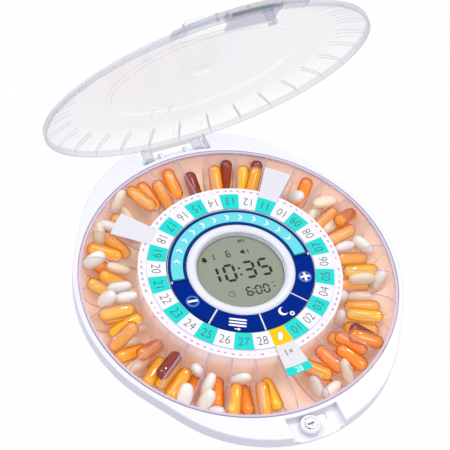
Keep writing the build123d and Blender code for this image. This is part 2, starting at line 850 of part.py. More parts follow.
def make_key(start, end, middle, domed):
    """One key between two angles, with its stem and, on plus and minus, a round dome."""
    key = sector(ring_inner, key_outer, start, end, key_bottom, key_top)
    half = separator_width / 2 + separator_gap
    for edge in (0.0, key_split, -key_split):
        key -= Rot(0, 0, turret_front + edge) * block(0, turret_radius + 1, -half, half, key_bottom - 1, key_top + 1)
    x, y = polar(stem_circle, middle)
    stem_bottom = board_top + switch_body + switch_plunger + key_travel + key_air
    key += rod(stem_radius, stem_bottom, key_bottom + key_thickness / 2, x, y)
    if domed:
        ball = (dome_radius ** 2 + dome_height ** 2) / (2 * dome_height)
        crown = Pos(x, y, key_top + dome_height - ball) * Sphere(ball)
        key += crown & rod(dome_radius, key_top - dome_height / 2, key_top + dome_height, x, y)
    return key


def make_buzzer():
    return rod(buzzer_radius, board_bottom - buzzer_height, board_bottom, buzzer_x, buzzer_y)


def make_tilt_sensor():
    z = board_bottom - tilt_radius
    can = Pos(tilt_x, tilt_y, z) * Rot(90, 0, 0) * Cylinder(tilt_radius, tilt_length)
    base = block(tilt_x - tilt_radius, tilt_x + tilt_radius, tilt_y - tilt_length / 2, tilt_y + tilt_length / 2,
                 z, board_bottom)
    return can + base


def make_sensor():
    """Switch on the shoulder that counts the tray's steps on the ring gear."""
    half = sensor_width / 2
    body = block(sensor_circle - sensor_depth / 2, sensor_circle + sensor_depth / 2, -half, half, shoulder_top,
                 shoulder_top + sensor_height)
    nose = block(sensor_circle, sensor_circle + sensor_depth / 2 + sensor_nose, -1.0, 1.0,
                 shoulder_top + sensor_height / 2, shoulder_top + sensor_height / 2 + 1.6)
    return Rot(0, 0, sensor_angle) * (body + nose)


# ---------------------------------------------------------------- tray drive
def make_gear_plate():
    plate = block(-gear_plate_half_width, gear_plate_half_width, gear_plate_front, gear_plate_back,
                  gear_plate_bottom, gear_plate_top)
    plate = plate & rod(riser_radius - housing_wall - 0.6, gear_plate_bottom, gear_plate_top)
    plate -= rod(motor_boss + 0.2, gear_plate_bottom - 1, gear_plate_top + 1, 0, motor_y)
    plate -= rod(axle_radius, gear_plate_bottom - 1, gear_plate_top + 1, 0, compound_y)
    for x in (-post_x, post_x):
        plate -= rod(small_shank + screw_clearance, gear_plate_bottom - 1, gear_plate_top + 1, x, post_y)
    for x in (-motor_screw_offset, motor_screw_offset):
        plate -= rod(small_shank + screw_clearance, gear_plate_bottom - 1, gear_plate_top + 1, x, motor_y)
    return plate


def make_gear_plate_screws():
    return Compound(children=[
        screw(small_shank, small_head, gear_plate_bottom - small_head_height, small_head_height,
              gear_plate_thickness + small_screw_length - 1, x, post_y) for x in (-post_x, post_x)
    ])


def make_motor():
    """Motor can with its bearing boss, hung under the gear plate."""
    can = rod(motor_radius, gear_plate_bottom - motor_length, gear_plate_bottom, 0, motor_y)
    can += rod(motor_boss, gear_plate_bottom - 1, gear_plate_top - 0.4, 0, motor_y)
    can -= rod(axle_radius + running_fit, gear_plate_bottom - 6, gear_plate_top, 0, motor_y)
    for x in (-motor_screw_offset, motor_screw_offset):
        can -= rod(small_shank, gear_plate_bottom - 3, gear_plate_bottom + 1, x, motor_y)
    return can


def make_motor_screws():
    screws = []
    for x in (-motor_screw_offset, motor_screw_offset):
        head = rod(small_head - 0.4, gear_plate_top, gear_plate_top + small_head_height - 0.3, x, motor_y)
        screws.append(head + rod(small_shank, gear_plate_bottom - 2.5, gear_plate_top, x, motor_y))
    return Compound(children=screws)


def make_motor_pinion():
    """Pinion on the motor's own shaft."""
    shaft = rod(axle_radius, gear_plate_bottom - 5, wheel_top, 0, motor_y)
    gear = spur(motor_teeth, train_module, train_backlash, 90 + 180 / motor_teeth, wheel_bottom, wheel_top, motor_y)
    return gear + shaft


def make_compound_axle():
    return rod(axle_radius, gear_plate_bottom, shoulder_under, 0, compound_y)


def make_compound_gear():
    """Large wheel driven by the motor and small wheel that drives the transfer gear."""
    large = spur(large_teeth, train_module, train_backlash, -90, wheel_bottom, wheel_top, compound_y)
    small = spur(small_teeth, train_module, train_backlash, 90 + 180 / small_teeth, wheel_top - 0.1, transfer_top,
                 compound_y)
    collar = rod(axle_radius + 0.9, gear_plate_top + 0.3, wheel_bottom, 0, compound_y)
    gear = large + small + collar
    return gear - rod(axle_radius + running_fit, 0, flange_top, 0, compound_y)


def make_transfer_gear():
    gear = spur(transfer_teeth, train_module, train_backlash, -90, transfer_bottom, transfer_top, drive_y)
    return gear - rod(shaft_radius, 0, flange_top, 0, drive_y)


def make_drive_shaft():
    return rod(shaft_radius, transfer_bottom, shoulder_top + pinion_lift + pinion_height, 0, drive_y)


def make_drive_pinion():
    bottom = shoulder_top + pinion_lift
    gear = spur(pinion_teeth, drive_module, drive_backlash, 90, bottom, bottom + pinion_height, drive_y)
    gear += rod(bush_outer - 0.6, shoulder_top + 0.4, bottom, 0, drive_y)
    return gear - rod(shaft_radius, 0, flange_top + 10, 0, drive_y)


def make_bush():
    bush = rod(bush_outer - 0.02, shoulder_top - bush_length, shoulder_top + 0.1, 0, drive_y)
    bush += rod(bush_outer + 1, shoulder_top - bush_length, shoulder_under, 0, drive_y)
    return bush - rod(shaft_radius + running_fit, 0, flange_top, 0, drive_y)


# ---------------------------------------------------------------- tray
def make_tray_pan():
    """Clear pan: rim, rounded outer wall, floor, inner wall and the ledge for the cards."""
    inner = hub_radius - tray_wall
    profile = [
        *chain([(scoop_centre + scoop_radius, scoop_level), (tray_radius, flange_top),
                (tray_radius - tray_wall, flange_top), (tray_radius - tray_wall, scoop_level)]),
        scoop_arc(scoop_radius - tray_wall),
        *chain([(scoop_centre, tray_underside + tray_wall), (hub_radius, tray_underside + tray_wall),
                (hub_radius, ledge_top), (ledge_inner, ledge_top), (ledge_inner, ledge_underside),
                (inner, ledge_underside), (inner, tray_underside), (scoop_centre, tray_underside)]),
        scoop_arc(scoop_radius),
    ]
    return turned(profile)


def cell_angle(cell):
    """Middle angle of a compartment: the home compartment is 0, and the others follow counter-clockwise."""
    return -90 + tray_rest_turn + cell * 360 / cell_count


def divider_blank():
    """One divider in the XZ plane at angle 0, with its arched top edge."""
    clear = seat_clearance
    inner = hub_radius + clear
    outer = tray_radius - tray_wall - clear
    floor = tray_underside + tray_wall + clear
    radius = scoop_radius - tray_wall - clear
    top = flange_top + divider_rise
    rim = flange_top + 0.2
    reach = outer - divider_shoulder
    bend = 55
    middle = radians(45)
    edges = [
        *chain([(inner, floor), (inner, top), (divider_shoulder, top)]),
        ThreePointArc(
            (divider_shoulder, 0, top),
            (divider_shoulder + reach * sin(radians(bend)), 0, rim + (top - rim) * cos(radians(bend))),
            (outer, 0, rim),
        ),
        *chain([(outer, rim), (outer, scoop_level)]),
        ThreePointArc(
            (outer, 0, scoop_level),
            (scoop_centre + radius * cos(middle), 0, scoop_level - radius * sin(middle)),
            (scoop_centre, 0, floor),
        ),
        *chain([(scoop_centre, floor), (inner, floor)]),
    ]
    face = make_face(edges)
    return extrude(face, amount=divider_thickness / 2, dir=(0, 1, 0), both=True)


def make_dividers():
    blank = divider_blank()
    half_cell = 180 / cell_count
    return Compound(children=[Rot(0, 0, cell_angle(cell) + half_cell) * blank for cell in range(cell_count)])


def make_card(level, cell, tab_radius):
    """Ring card with one tab that reaches out over a compartment."""
    bottom = ledge_top + level * card_pitch
    top = bottom + card_thickness
    card = ring(card_outer, card_inner, bottom, top)
    middle = cell_angle(cell)
    return card + sector(card_outer - 1, tab_radius, middle - tab_half_angle, middle + tab_half_angle, bottom, top)


# ---------------------------------------------------------------- lock
def make_lock_barrel():
    top = flange_top - lock_top_drop
    barrel = rod(lock_cap_radius, top - lock_cap_height, top, lock_x, lock_y)
    barrel = fillet(barrel.faces().sort_by(Axis.Z)[-1].edges(), 0.6)
    barrel += rod(lock_cap_radius - 0.8, floor_top, top - lock_cap_height, lock_x, lock_y)
    barrel += rod(lock_body_radius, floor_bottom + 0.05, floor_top, lock_x, lock_y)
    return barrel - rod(lock_bore, skirt_bottom - 1, flange_top + 1, lock_x, lock_y)


def make_lock_plug():
    """Turning plug with a key slot in its top."""
    top = flange_top - lock_top_drop + lock_plug_rise
    plug = rod(lock_bore - lock_plug_clearance, floor_bottom - cam_gap, top, lock_x, lock_y)
    half = key_slot_width / 2
    reach = key_slot_length / 2
    slot = block(lock_x - reach, lock_x + reach, lock_y - half, lock_y + half, top - key_slot_depth, top + 1)
    cross = block(lock_x - half, lock_x + half, lock_y - reach, lock_y, top - key_slot_depth, top + 1)
    return plug - slot - cross


def make_lock_cam():
    """Cam under the recess's floor that swings into the catch's window."""
    top = floor_bottom - cam_gap
    bottom = top - cam_thickness
    arm = block(0, cam_length, -cam_half_width, cam_half_width, bottom, top) + rod(cam_hub, bottom, top)
    return Pos(lock_x, lock_y, 0) * Rot(0, 0, cam_rest_angle) * arm


# ---------------------------------------------------------------- lid, modelled closed
def dome(inset):
    """Solid under the lid's outer surface, drawn in by an inset all over."""
    edge = flange_top + dome_edge_rise - inset
    profile = [
        *chain([(0, lid_seat), (lid_radius - inset, lid_seat),
                (lid_radius - inset, flange_top + lid_upright - 0.3 * inset)]),
        ThreePointArc(
            (lid_radius - inset, 0, flange_top + lid_upright - 0.3 * inset),
            (dome_mid_radius - 0.6 * inset, 0, flange_top + dome_mid_rise - 0.8 * inset),
            (dome_edge_radius - 0.2 * inset, 0, edge),
        ),
        *chain([(dome_edge_radius - 0.2 * inset, edge), (disc_radius - inset, flange_top + disc_edge_rise - inset),
                (disc_radius - inset, flange_top + disc_edge_rise + disc_step - inset),
                (0, flange_top + disc_crown - inset), (0, lid_seat)]),
    ]
    return turned(profile)


def porch(inset):
    """Raised box at the front of the dome, drawn in by an inset."""
    return block(porch_left + inset, porch_right - inset, porch_front + inset, porch_back - inset,
                 lid_seat + porch_start, flange_top + porch_roof - inset)


def make_lid_shell():
    shell = dome(0) + porch(0)
    below = rod(lid_radius - lid_wall, lid_seat - 1, lid_seat + 0.5)
    hollow = dome(lid_wall) + porch(lid_wall) + below
    shell -= hollow
    shell += make_ribs()
    shell -= block(window_left, window_right, window_front, window_back, flange_top, flange_top + porch_roof + 1)
    lip = prism(base_outline(lip_inset), lid_seat, lid_seat + lip_thickness)
    lip = lip & block(lip_left, lip_right, -2 * lid_radius, -disc_radius, 0, 2 * flange_top)
    shell += lip - rod(lid_radius - lid_wall / 2, 0, 2 * flange_top)
    shell += make_catch()
    shell += make_lid_hinge()
    return shell + make_clip()


def make_ribs():
    """Short curved ribs inside the lid's shoulder, kept out of the porch."""
    band = dome(lid_wall - 0.1) - dome(lid_wall + rib_depth)
    band -= rod(rib_inner, 0, 2 * flange_top)
    band = band & rod(lid_radius, lid_seat + porch_start, 2 * flange_top)
    blades = []
    for rib in range(rib_count):
        blade = block(rib_inner - 1, lid_radius, -rib_thickness / 2, rib_thickness / 2, 0, 2 * flange_top)
        blades.append(Rot(0, 0, -90 + (rib + 0.5) * 360 / rib_count) * blade)
    ribs = band & Part() + blades
    return ribs - block(porch_left, porch_right, -lid_radius, porch_back, 0, 2 * flange_top)


def make_catch():
    """Catch under the lip: a post and a bar that the lock's cam slides over."""
    bar_bottom = floor_bottom - catch_window - catch_bar + 0.2
    right = catch_x + catch_width
    back = catch_y + catch_depth
    catch = block(catch_x, right, catch_y, back, bar_bottom, lid_seat + lip_thickness / 2)
    window = block(catch_x - 1, right - catch_post, catch_y - 1, back + 1, bar_bottom + catch_bar,
                   bar_bottom + catch_bar + catch_window)
    return catch - window


def make_lid_hinge():
    """Plate behind the rim with two lugs that reach down to the hinge pin."""
    half = hinge_plate_half
    plate = block(-half, half, 0, hinge_plate_end, lid_seat, lid_seat + lip_thickness)
    hinge = plate - rod(lid_radius - lid_wall / 2, 0, 2 * flange_top)
    for x in (-lug_x, lug_x):
        barrel = Pos(x, hinge_y, hinge_z) * Rot(0, 90, 0) * Cylinder(barrel_radius, 2 * lug_half_width)
        arm = block(x - lug_half_width, x + lug_half_width, hinge_y - barrel_radius, hinge_y + barrel_radius - 1.0,
                    hinge_z, lid_seat + lip_thickness / 2)
        hinge += barrel + arm
    return hinge - Pos(0, hinge_y, hinge_z) * Rot(0, 90, 0) * Cylinder(pin_radius + running_fit, 2 * pin_half_length)


def make_clip():
    """Small U-shaped boss under the dome."""
    half = clip_width / 2
    top = flange_top + disc_edge_rise + disc_step - lid_wall + 0.3
    outer = block(clip_x - half, clip_x + half, clip_y, clip_y + clip_length, top - clip_depth, top)
    inner = block(clip_x - half + clip_wall, clip_x + half - clip_wall, clip_y - 1, clip_y + clip_length - clip_wall,
                  top - clip_depth - 1, top + 1)
    return outer - inner


def make_hinge_pin():
    return Pos(0, hinge_y, hinge_z) * Rot(0, 90, 0) * Cylinder(pin_radius, 2 * pin_half_length)


def pane_top():
    return flange_top + porch_roof - lid_wall - pane_top_gap


def make_rails():
    """Two rails under the porch's roof that carry the sliding pane."""
    roof = flange_top + porch_roof - lid_wall - seat_clearance
    lip_top = pane_top() - pane_thickness - rail_gap
    lip_bottom = lip_top - rail_lip
    left = porch_left + lid_wall + seat_clearance
    right = porch_right - lid_wall - seat_clearance
    rails = []
    for web_start, web_end, lip_start, lip_end in (
        (rail_front - rail_web, rail_front, rail_front - rail_web, rail_front + rail_reach),
        (rail_back, rail_back + rail_web, rail_back - rail_reach, rail_back + rail_web),
    ):
        web = block(left, right, web_start, web_end, lip_bottom, roof)
        rails.append(web + block(left, right, lip_start, lip_end, lip_bottom, lip_top))
    return Compound(children=rails)


def make_pane():
    """Frosted sliding door of the dispensing window, shown slid open."""
    top = pane_top()
    front = window_front - pane_margin
    back = window_back + pane_margin
    middle = (window_front + window_back) / 2
    half_grip = pane_grip_width / 2
    pane = block(pane_left, pane_left + pane_length, front, back, top - pane_thickness, top)
    grip = block(pane_left, pane_left + pane_grip, middle - half_grip, middle + half_grip, top - pane_thickness / 2,
                 top + pane_grip_height)
    return pane + grip


def make_label():
    """Turquoise strip on top of the lip, along the dome's edge."""
    start = lid_radius + label_gap
    bottom = lid_seat + lip_thickness
    return sector(start, start + label_width, label_start, label_end, bottom, bottom + label_thickness)


# ---------------------------------------------------------------- all pieces
minus_angle, menu_angle, sleep_angle, plus_angle = key_angles()

pieces = {
    "upper_housing": make_upper_housing(),
    "lower_housing": make_lower_housing(),
    "rubber_feet": make_feet(),
    "housing_screws": make_housing_screws(),
    "battery_door": make_battery_door(),
    "battery_door_screw": make_door_screw(),
    "battery_contacts": make_contacts(),
    "circuit_board": make_board(),
    "board_screws": make_board_screws(),
    "tact_switches": make_switches(),
    "display_holder": make_display_holder(),
    "display_glass": make_display(),
    "display_window": make_window(),
    "bezel_ring": make_bezel(),
    "arc_panel": make_arc_panel(),
    "arc_spacer": make_arc_base(),
    "key_mat": make_key_mat(),
    "minus_key": make_key(turret_front - key_span, turret_front - key_split, minus_angle, True),
    "menu_key": make_key(turret_front - key_split, turret_front, menu_angle, False),
    "sleep_key": make_key(turret_front, turret_front + key_split, sleep_angle, False),
    "plus_key": make_key(turret_front + key_split, turret_front + key_span, plus_angle, True),
    "buzzer": make_buzzer(),
    "tilt_sensor": make_tilt_sensor(),
    "position_switch": make_sensor(),
    "gear_plate": make_gear_plate(),
    "gear_plate_screws": make_gear_plate_screws(),
    "drive_motor": make_motor(),
    "motor_screws": make_motor_screws(),
    "motor_pinion": make_motor_pinion(),
    "compound_axle": make_compound_axle(),
    "compound_gear": make_compound_gear(),
    "transfer_gear": make_transfer_gear(),
    "drive_shaft": make_drive_shaft(),
    "drive_pinion": make_drive_pinion(),
    "shaft_bush": make_bush(),
    "tray_pan": make_tray_pan(),
    "tray_dividers": make_dividers(),
    "tray_ring_gear": make_ring_gear(),
    "lower_ring_card": make_card(0, second_blank_cell, blank_tab_radius),
    "middle_ring_card": make_card(1, first_blank_cell, blank_tab_radius),
    "dose_ring_card": make_card(2, 0, home_tab_radius),
    "lock_barrel": make_lock_barrel(),
    "lock_plug": make_lock_plug(),
    "lock_cam": make_lock_cam(),
    "hinge_pin": make_hinge_pin(),
    "lid_shell": opened(make_lid_shell()),
    "lid_label": opened(make_label()),
    "door_rails": opened(make_rails()),
    "dispensing_door": opened(make_pane()),
}
for number, (cell_x, cell_way) in enumerate(cell_places(), start=1):
    pieces["battery_cell_" + str(number)] = make_cell(cell_x, cell_way)

for name, shape in pieces.items():
    export_step(shape, "parts/" + name + ".step")
    print(name, round(shape.volume, 1), len(shape.solids()))
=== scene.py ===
import math

import bpy
import numpy as np
from mathutils import Matrix, Vector


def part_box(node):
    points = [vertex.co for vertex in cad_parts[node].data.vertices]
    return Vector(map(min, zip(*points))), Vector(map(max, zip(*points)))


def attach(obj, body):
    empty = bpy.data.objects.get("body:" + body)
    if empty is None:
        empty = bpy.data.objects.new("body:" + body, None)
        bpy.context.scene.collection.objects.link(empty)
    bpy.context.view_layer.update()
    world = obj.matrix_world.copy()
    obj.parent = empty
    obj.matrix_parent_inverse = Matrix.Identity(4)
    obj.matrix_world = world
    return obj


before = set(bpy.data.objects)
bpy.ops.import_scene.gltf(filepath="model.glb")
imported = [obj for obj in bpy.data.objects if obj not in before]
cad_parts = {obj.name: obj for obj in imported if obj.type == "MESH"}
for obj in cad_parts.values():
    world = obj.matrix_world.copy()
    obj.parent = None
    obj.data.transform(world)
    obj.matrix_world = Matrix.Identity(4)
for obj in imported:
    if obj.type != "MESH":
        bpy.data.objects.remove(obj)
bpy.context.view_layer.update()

MM = 0.001
CELLS = 29
CELL_STEP = 360.0 / CELLS
HOME_ANGLE = -87.6        # middle of the home compartment, degrees from +X
TURRET_TURN = -5.0        # the keys and the display are turned this much on the base
DISPLAY_TURN = -6.5       # the display's own graphics
CARD_MIDDLE = 52.9        # radius of the printed numbers
CARD_EDGE = 58.5          # outside this radius only the home tab is left of the card
TAB_END = 74.6            # from here on the tab is teal
LEDGE_TICKS = 3 * CELLS   # dashes round the tray's ledge
KEY_CIRCLE = 40.0         # the two round keys and the arc's arrows sit on this radius
ARC_BAND = (36.3, 43.7)   # the light part of the arc, inner and outer radius
ARC_END = 86.9            # degrees from the arc's middle to its end borders
FOOT_PLACE = 46.67        # the feet's places along x and along y
PRINT_RISE = 0.03         # print stands this far over its surface
PRINT_SINK = 0.02         # and reaches this far into it
HINGE = (0.0, 106.6, 34.7)    # a point on the lid's hinge axis
LOCK = (-3.5, -109.6)     # the lock's axis
LID_OPEN = 69.0           # the lid's angle in the scene, degrees from closed


def paint(red, green, blue):
    """A colour written as 0-255 screen values, turned into the linear values that shaders use."""
    share = np.array([red, green, blue], float) / 255.0
    linear = np.where(share <= 0.04045, share / 12.92, ((share + 0.055) / 1.055) ** 2.4)
    return (*map(float, linear), 1.0)


# ---------------------------------------------------------------- finishes

class Signal:
    """A number that varies over a surface; arithmetic on it adds the Math nodes for it."""

    def __init__(self, finish, socket):
        self.finish = finish
        self.socket = socket

    def worked(self, operation, first, second=None):
        """The result of one Math node on one or two values."""
        values = {0: first} if second is None else {0: first, 1: second}
        node = self.finish.node("ShaderNodeMath", {"operation": operation}, values)
        return Signal(self.finish, node.outputs[0])

    def __add__(self, other):
        return self.worked("ADD", self, other)

    def __sub__(self, other):
        return self.worked("SUBTRACT", self, other)

    def __rsub__(self, other):
        return self.worked("SUBTRACT", other, self)

    def __mul__(self, other):
        return self.worked("MULTIPLY", self, other)

    def __truediv__(self, other):
        return self.worked("DIVIDE", self, other)

    def __pow__(self, other):
        return self.worked("POWER", self, other)

    def __gt__(self, other):
        return self.worked("GREATER_THAN", self, other)

    def __lt__(self, other):
        return self.worked("LESS_THAN", self, other)

    def floor(self):
        return self.worked("FLOOR", self)

    def sine(self):
        return self.worked("SINE", self)

    def size(self):
        return self.worked("ABSOLUTE", self)

    def wrapped(self, top):
        return self.worked("FLOORED_MODULO", self, top)

    def most(self, other):
        return self.worked("MAXIMUM", self, other)

    def least(self, other):
        return self.worked("MINIMUM", self, other)

    def rise(self, low, high):
        """0 below low, 1 above high, a smooth S between them."""
        values = {"Value": self, "From Min": low, "From Max": high}
        node = self.finish.node("ShaderNodeMapRange", {"interpolation_type": "SMOOTHSTEP"}, values)
        return Signal(self.finish, node.outputs["Result"])


class Finish:
    """One material being put together. Lengths in it are millimetres."""

    def __init__(self, name, colour, roughness, **sockets):
        self.material = bpy.data.materials.new(name)
        self.material.use_nodes = True
        self.tree = self.material.node_tree
        self.tree.nodes.clear()
        looks = {"Base Color": colour, "Roughness": roughness}
        self.shader = self.node("ShaderNodeBsdfPrincipled", {}, looks)
        for socket, value in sockets.items():
            self.set(socket.replace("_", " "), value)
        self.sink = self.node("ShaderNodeOutputMaterial", {}, {"Surface": self.shader.outputs[0]})
        self.spot = None

    def node(self, kind, settings, values):
        """A node of that kind: its settings first, then the values or links of its sockets."""
        node = self.tree.nodes.new(kind)
        for setting, value in settings.items():
            setattr(node, setting, value)
        for socket, value in values.items():
            self.feed(node.inputs[socket], value)
        return node

    def feed(self, socket, value):
        """Links the socket to a Signal or another socket, or gives it a plain value."""
        if isinstance(value, Signal):
            value = value.socket
        if isinstance(value, bpy.types.NodeSocket):
            self.tree.links.new(value, socket)
        else:
            socket.default_value = value

    def set(self, socket, value):
        """One socket of the main shader."""
        self.feed(self.shader.inputs[socket], value)
        return self

    def signal(self, node, output=0):
        return Signal(self, node.outputs[output])

    def place(self):
        """The point on the piece, in metres, as a vector socket."""
        if self.spot is None:
            self.spot = self.node("ShaderNodeTexCoord", {}, {}).outputs["Object"]
        return self.spot

    def moved(self, shift=(0, 0, 0), turn=(0, 0, 0), size=(1, 1, 1)):
        """The point sized, turned (degrees) and then shifted (metres)."""
        settings = {"vector_type": "POINT"}
        values = {
            "Vector": self.place(), "Location": shift,
            "Rotation": tuple(map(math.radians, turn)), "Scale": size,
        }
        return self.node("ShaderNodeMapping", settings, values).outputs[0]

    def axes(self, vector=None):
        """x, y and z of a vector in millimetres."""
        split = self.node("ShaderNodeSeparateXYZ", {}, {0: vector or self.place()})
        return [Signal(self, socket) * 1000.0 for socket in split.outputs]

    def polar(self, vector=None):
        """Distance from the turret's axis (mm), angle round it (degrees) and height (mm)."""
        x, y, z = self.axes(vector)
        radius = (x * x + y * y) ** 0.5
        angle = x.worked("ARCTAN2", y, x) * math.degrees(1.0)
        return radius, angle, z

    def facing(self, blend=0.5):
        """0 where the surface is seen straight on, 1 where it is seen along itself."""
        return self.signal(self.node("ShaderNodeLayerWeight", {}, {"Blend": blend}), "Facing")

    def upward(self):
        """How far the surface faces up: 1 level, 0 upright."""
        surface = self.node("ShaderNodeNewGeometry", {}, {})
        split = self.node("ShaderNodeSeparateXYZ", {}, {0: surface.outputs["Normal"]})
        return Signal(self, split.outputs[2]).size()

    def grain(self, per_metre, detail=3.0, roughness=0.5, vector=None):
        """Cloudy noise from 0 to 1, with that many lumps to the metre."""
        values = {"Vector": vector or self.place(), "Scale": per_metre}
        values.update({"Detail": detail, "Roughness": roughness})
        return self.signal(self.node("ShaderNodeTexNoise", {}, values), "Fac")

    def flecks(self, per_metre, feature="F1"):
        """Distance to the nearest of scattered points."""
        values = {"Vector": self.place(), "Scale": per_metre}
        node = self.node("ShaderNodeTexVoronoi", {"feature": feature}, values)
        return self.signal(node, "Distance")

    def mix(self, share, first, second):
        """The first colour where share is 0, the second where it is 1."""
        settings = {"data_type": "RGBA", "clamp_factor": True}
        node = self.node("ShaderNodeMix", settings, {0: share, 6: first, 7: second})
        return node.outputs[2]

    def relief(self, height, depth):
        """A bump of that depth in millimetres where height goes from 0 to 1."""
        values = {"Height": height, "Strength": 1.0, "Distance": depth * MM}
        node = self.node("ShaderNodeBump", {}, values)
        return self.set("Normal", node.outputs[0])

    def lets_lamps_through(self):
        """Rays on their way to a lamp pass freely, as light does through clear plastic."""
        path = self.node("ShaderNodeLightPath", {}, {})
        open_way = self.node("ShaderNodeBsdfTransparent", {}, {})
        shadow = path.outputs["Is Shadow Ray"]
        values = {0: shadow, 1: self.shader.outputs[0], 2: open_way.outputs[0]}
        both = self.node("ShaderNodeMixShader", {}, values)
        self.tree.links.new(both.outputs[0], self.sink.inputs[0])
        return self

    def slant(self, way):
        """How far the surface faces that way: the dot of its normal and the direction."""
        place = self.node("ShaderNodeTexCoord", {}, {})
        pair = {0: place.outputs["Normal"], 1: way}
        dot = self.node("ShaderNodeVectorMath", {"operation": "DOT_PRODUCT"}, pair)
        return Signal(self, dot.outputs["Value"])

    def cloudy(self, first, second, per_metre, depth=0.01, rough=(0.4, 0.5)):
        """A base colour that drifts between two shades, with roughness and grain to match."""
        drift = self.grain(per_metre * 0.1)
        fine = self.grain(per_metre, 4.0)
        self.set("Base Color", self.mix(drift, first, second))
        self.set("Roughness", fine * (rough[1] - rough[0]) + rough[0])
        return self.relief(fine, depth)


def moulded(name, shade, rough=(0.34, 0.44), lift=0.02, per_metre=2600.0):
    """Moulded plastic: a hair's difference in shade, spark-eroded grain, slightly uneven gloss."""
    lighter = tuple(min(1.0, part * 1.03) for part in shade[:3]) + (1.0,)
    return Finish(name, shade, 0.4).cloudy(shade, lighter, per_metre, lift, rough)


def metal(name, shade, rough, per_metre=900.0, stretch=(1, 1, 14)):
    """Drawn or turned metal: fine scratches along one direction."""
    finish = Finish(name, shade, rough, Metallic=1.0)
    streaks = finish.grain(per_metre, 5.0, 0.6, finish.moved(size=stretch))
    finish.set("Roughness", streaks * 0.2 + (rough - 0.1))
    darker = tuple(part * 0.8 for part in shade[:3]) + (1.0,)
    finish.set("Base Color", finish.mix(streaks, darker, shade))
    return finish.relief(streaks, 0.004)


def clear_plastic(name, body, edge, face_on, grazing, power=1.4, rough=0.07):
    """Clear moulded plastic: faint where looked through, tinted and denser seen along itself."""
    finish = Finish(name, body, rough, IOR=1.5)
    along = finish.facing(0.5) ** power
    finish.along = along
    finish.set("Base Color", finish.mix(along, body, edge))
    finish.density = along * (grazing - face_on) + face_on
    finish.set("Alpha", finish.density)
    ripple = finish.grain(60.0, 2.0)
    finish.lets_lamps_through()
    return finish.relief(ripple, 0.05)


WHITE = paint(236, 236, 244)
housing_white = moulded("housing_white", WHITE, per_metre=2200.0, lift=0.012)
bezel_white = moulded("bezel_white", paint(228, 230, 238), rough=(0.25, 0.33), lift=0.006)
dish_white = moulded("dish_white", paint(226, 226, 234), rough=(0.45, 0.6), lift=0.03)


def tray_finish():
    """Clear tray, lavender towards the rim and where seen along itself; its peach tint in the pockets
    is a painted reflection of the pills, its pale shoulder under the ring is painted light, and the
    pan has a faint painted glow.
    """
    shades = (paint(255, 232, 216), paint(232, 220, 236))
    finish = clear_plastic("tray_clear", *shades, 0.52, 0.56, 1.4)
    radius, angle, height = finish.polar()
    rim = radius.rise(97.2, 98.8) * height.rise(36.5, 38.5)
    ledge = (1 - radius.rise(62.5, 64.5)) * height.rise(43.0, 44.5)
    ticks = angle * (LEDGE_TICKS / 360.0) + finish.grain(70.0, 2.0) * 0.8
    ticks = ticks.wrapped(1.0).rise(0.5, 0.62)
    band = radius.rise(61.0, 61.3) * (1 - radius.rise(62.2, 62.5))
    ticks = ticks * ledge * band * finish.grain(150.0, 2.0).rise(0.4, 0.5)
    shoulder = height.rise(33.0, 41.0) * (1 - radius.rise(65.0, 68.0))
    # painted reflection: the peach tint of the pockets stands for the pills' colour thrown back by
    # the clear plastic
    painted_pocket_light = finish.mix(finish.along, paint(255, 230, 205), paint(248, 224, 224))
    # painted light: the shoulder under the ring is painted paler, and made denser below, to stand for
    # the light on it
    painted_pocket_light = finish.mix(shoulder, painted_pocket_light, paint(250, 244, 252))
    rimmed = finish.mix(rim, painted_pocket_light, paint(214, 202, 226))
    ledged = finish.mix(ledge, rimmed, paint(244, 238, 246))
    finish.set("Base Color", finish.mix(ticks, ledged, paint(196, 168, 186)))
    dense = finish.density + rim * 0.45 + shoulder * 0.3 + ledge * 0.3 + ticks * 0.3
    finish.set("Alpha", dense.least(1.0))
    # painted glow: the pan gives off a faint peach light everywhere except its rim and ledge, though
    # it is no lamp
    finish.set("Emission Color", finish.mix(rim.most(ledge), paint(255, 214, 190), (0, 0, 0, 1)))
    finish.set("Emission Strength", 0.16)
    return finish


def divider_finish():
    """Clear dividers with bright, pinkish cut edges on top."""
    shades = (paint(250, 240, 238), paint(220, 204, 220))
    finish = clear_plastic("divider_clear", *shades, 0.03, 0.22, 1.6)
    level = finish.upward().rise(0.25, 0.7)
    sides = finish.mix(finish.along, paint(252, 242, 240), paint(226, 208, 222))
    finish.set("Base Color", finish.mix(level, sides, paint(186, 158, 182)))
    finish.set("Alpha", (finish.density + level * 0.6).least(1.0))
    return finish


def lid_finish():
    """Clear lid, read in its closed position so that its rim and ribs can be found."""
    face, edge = paint(250, 249, 255), paint(176, 172, 198)
    finish = clear_plastic("lid_clear", face, edge, 0.01, 0.42, 3.0, 0.05)
    turned = Matrix.Rotation(math.radians(LID_OPEN), 3, "X")
    hinge = Vector(HINGE) * MM
    closed = finish.moved(shift=tuple(hinge - turned @ hinge), turn=(LID_OPEN, 0, 0))
    radius, angle, _ = finish.polar(closed)
    rim = radius.rise(99.8, 101.0)
    turn = (angle / CELL_STEP + 0.5).wrapped(1.0) - 0.5
    off = (turn * math.radians(CELL_STEP) * radius).size()
    rib = (1 - off.rise(0.5, 0.8)) * radius.rise(83.5, 84.5) * (1 - radius.rise(100.0, 101.0))
    hair = rib.most(rim)
    plain = finish.mix(finish.along, face, edge)
    finish.set("Base Color", finish.mix(hair, plain, paint(160, 156, 184)))
    finish.set("Alpha", (finish.density + rim * 0.2 + rib * 0.3).least(1.0))
    return finish


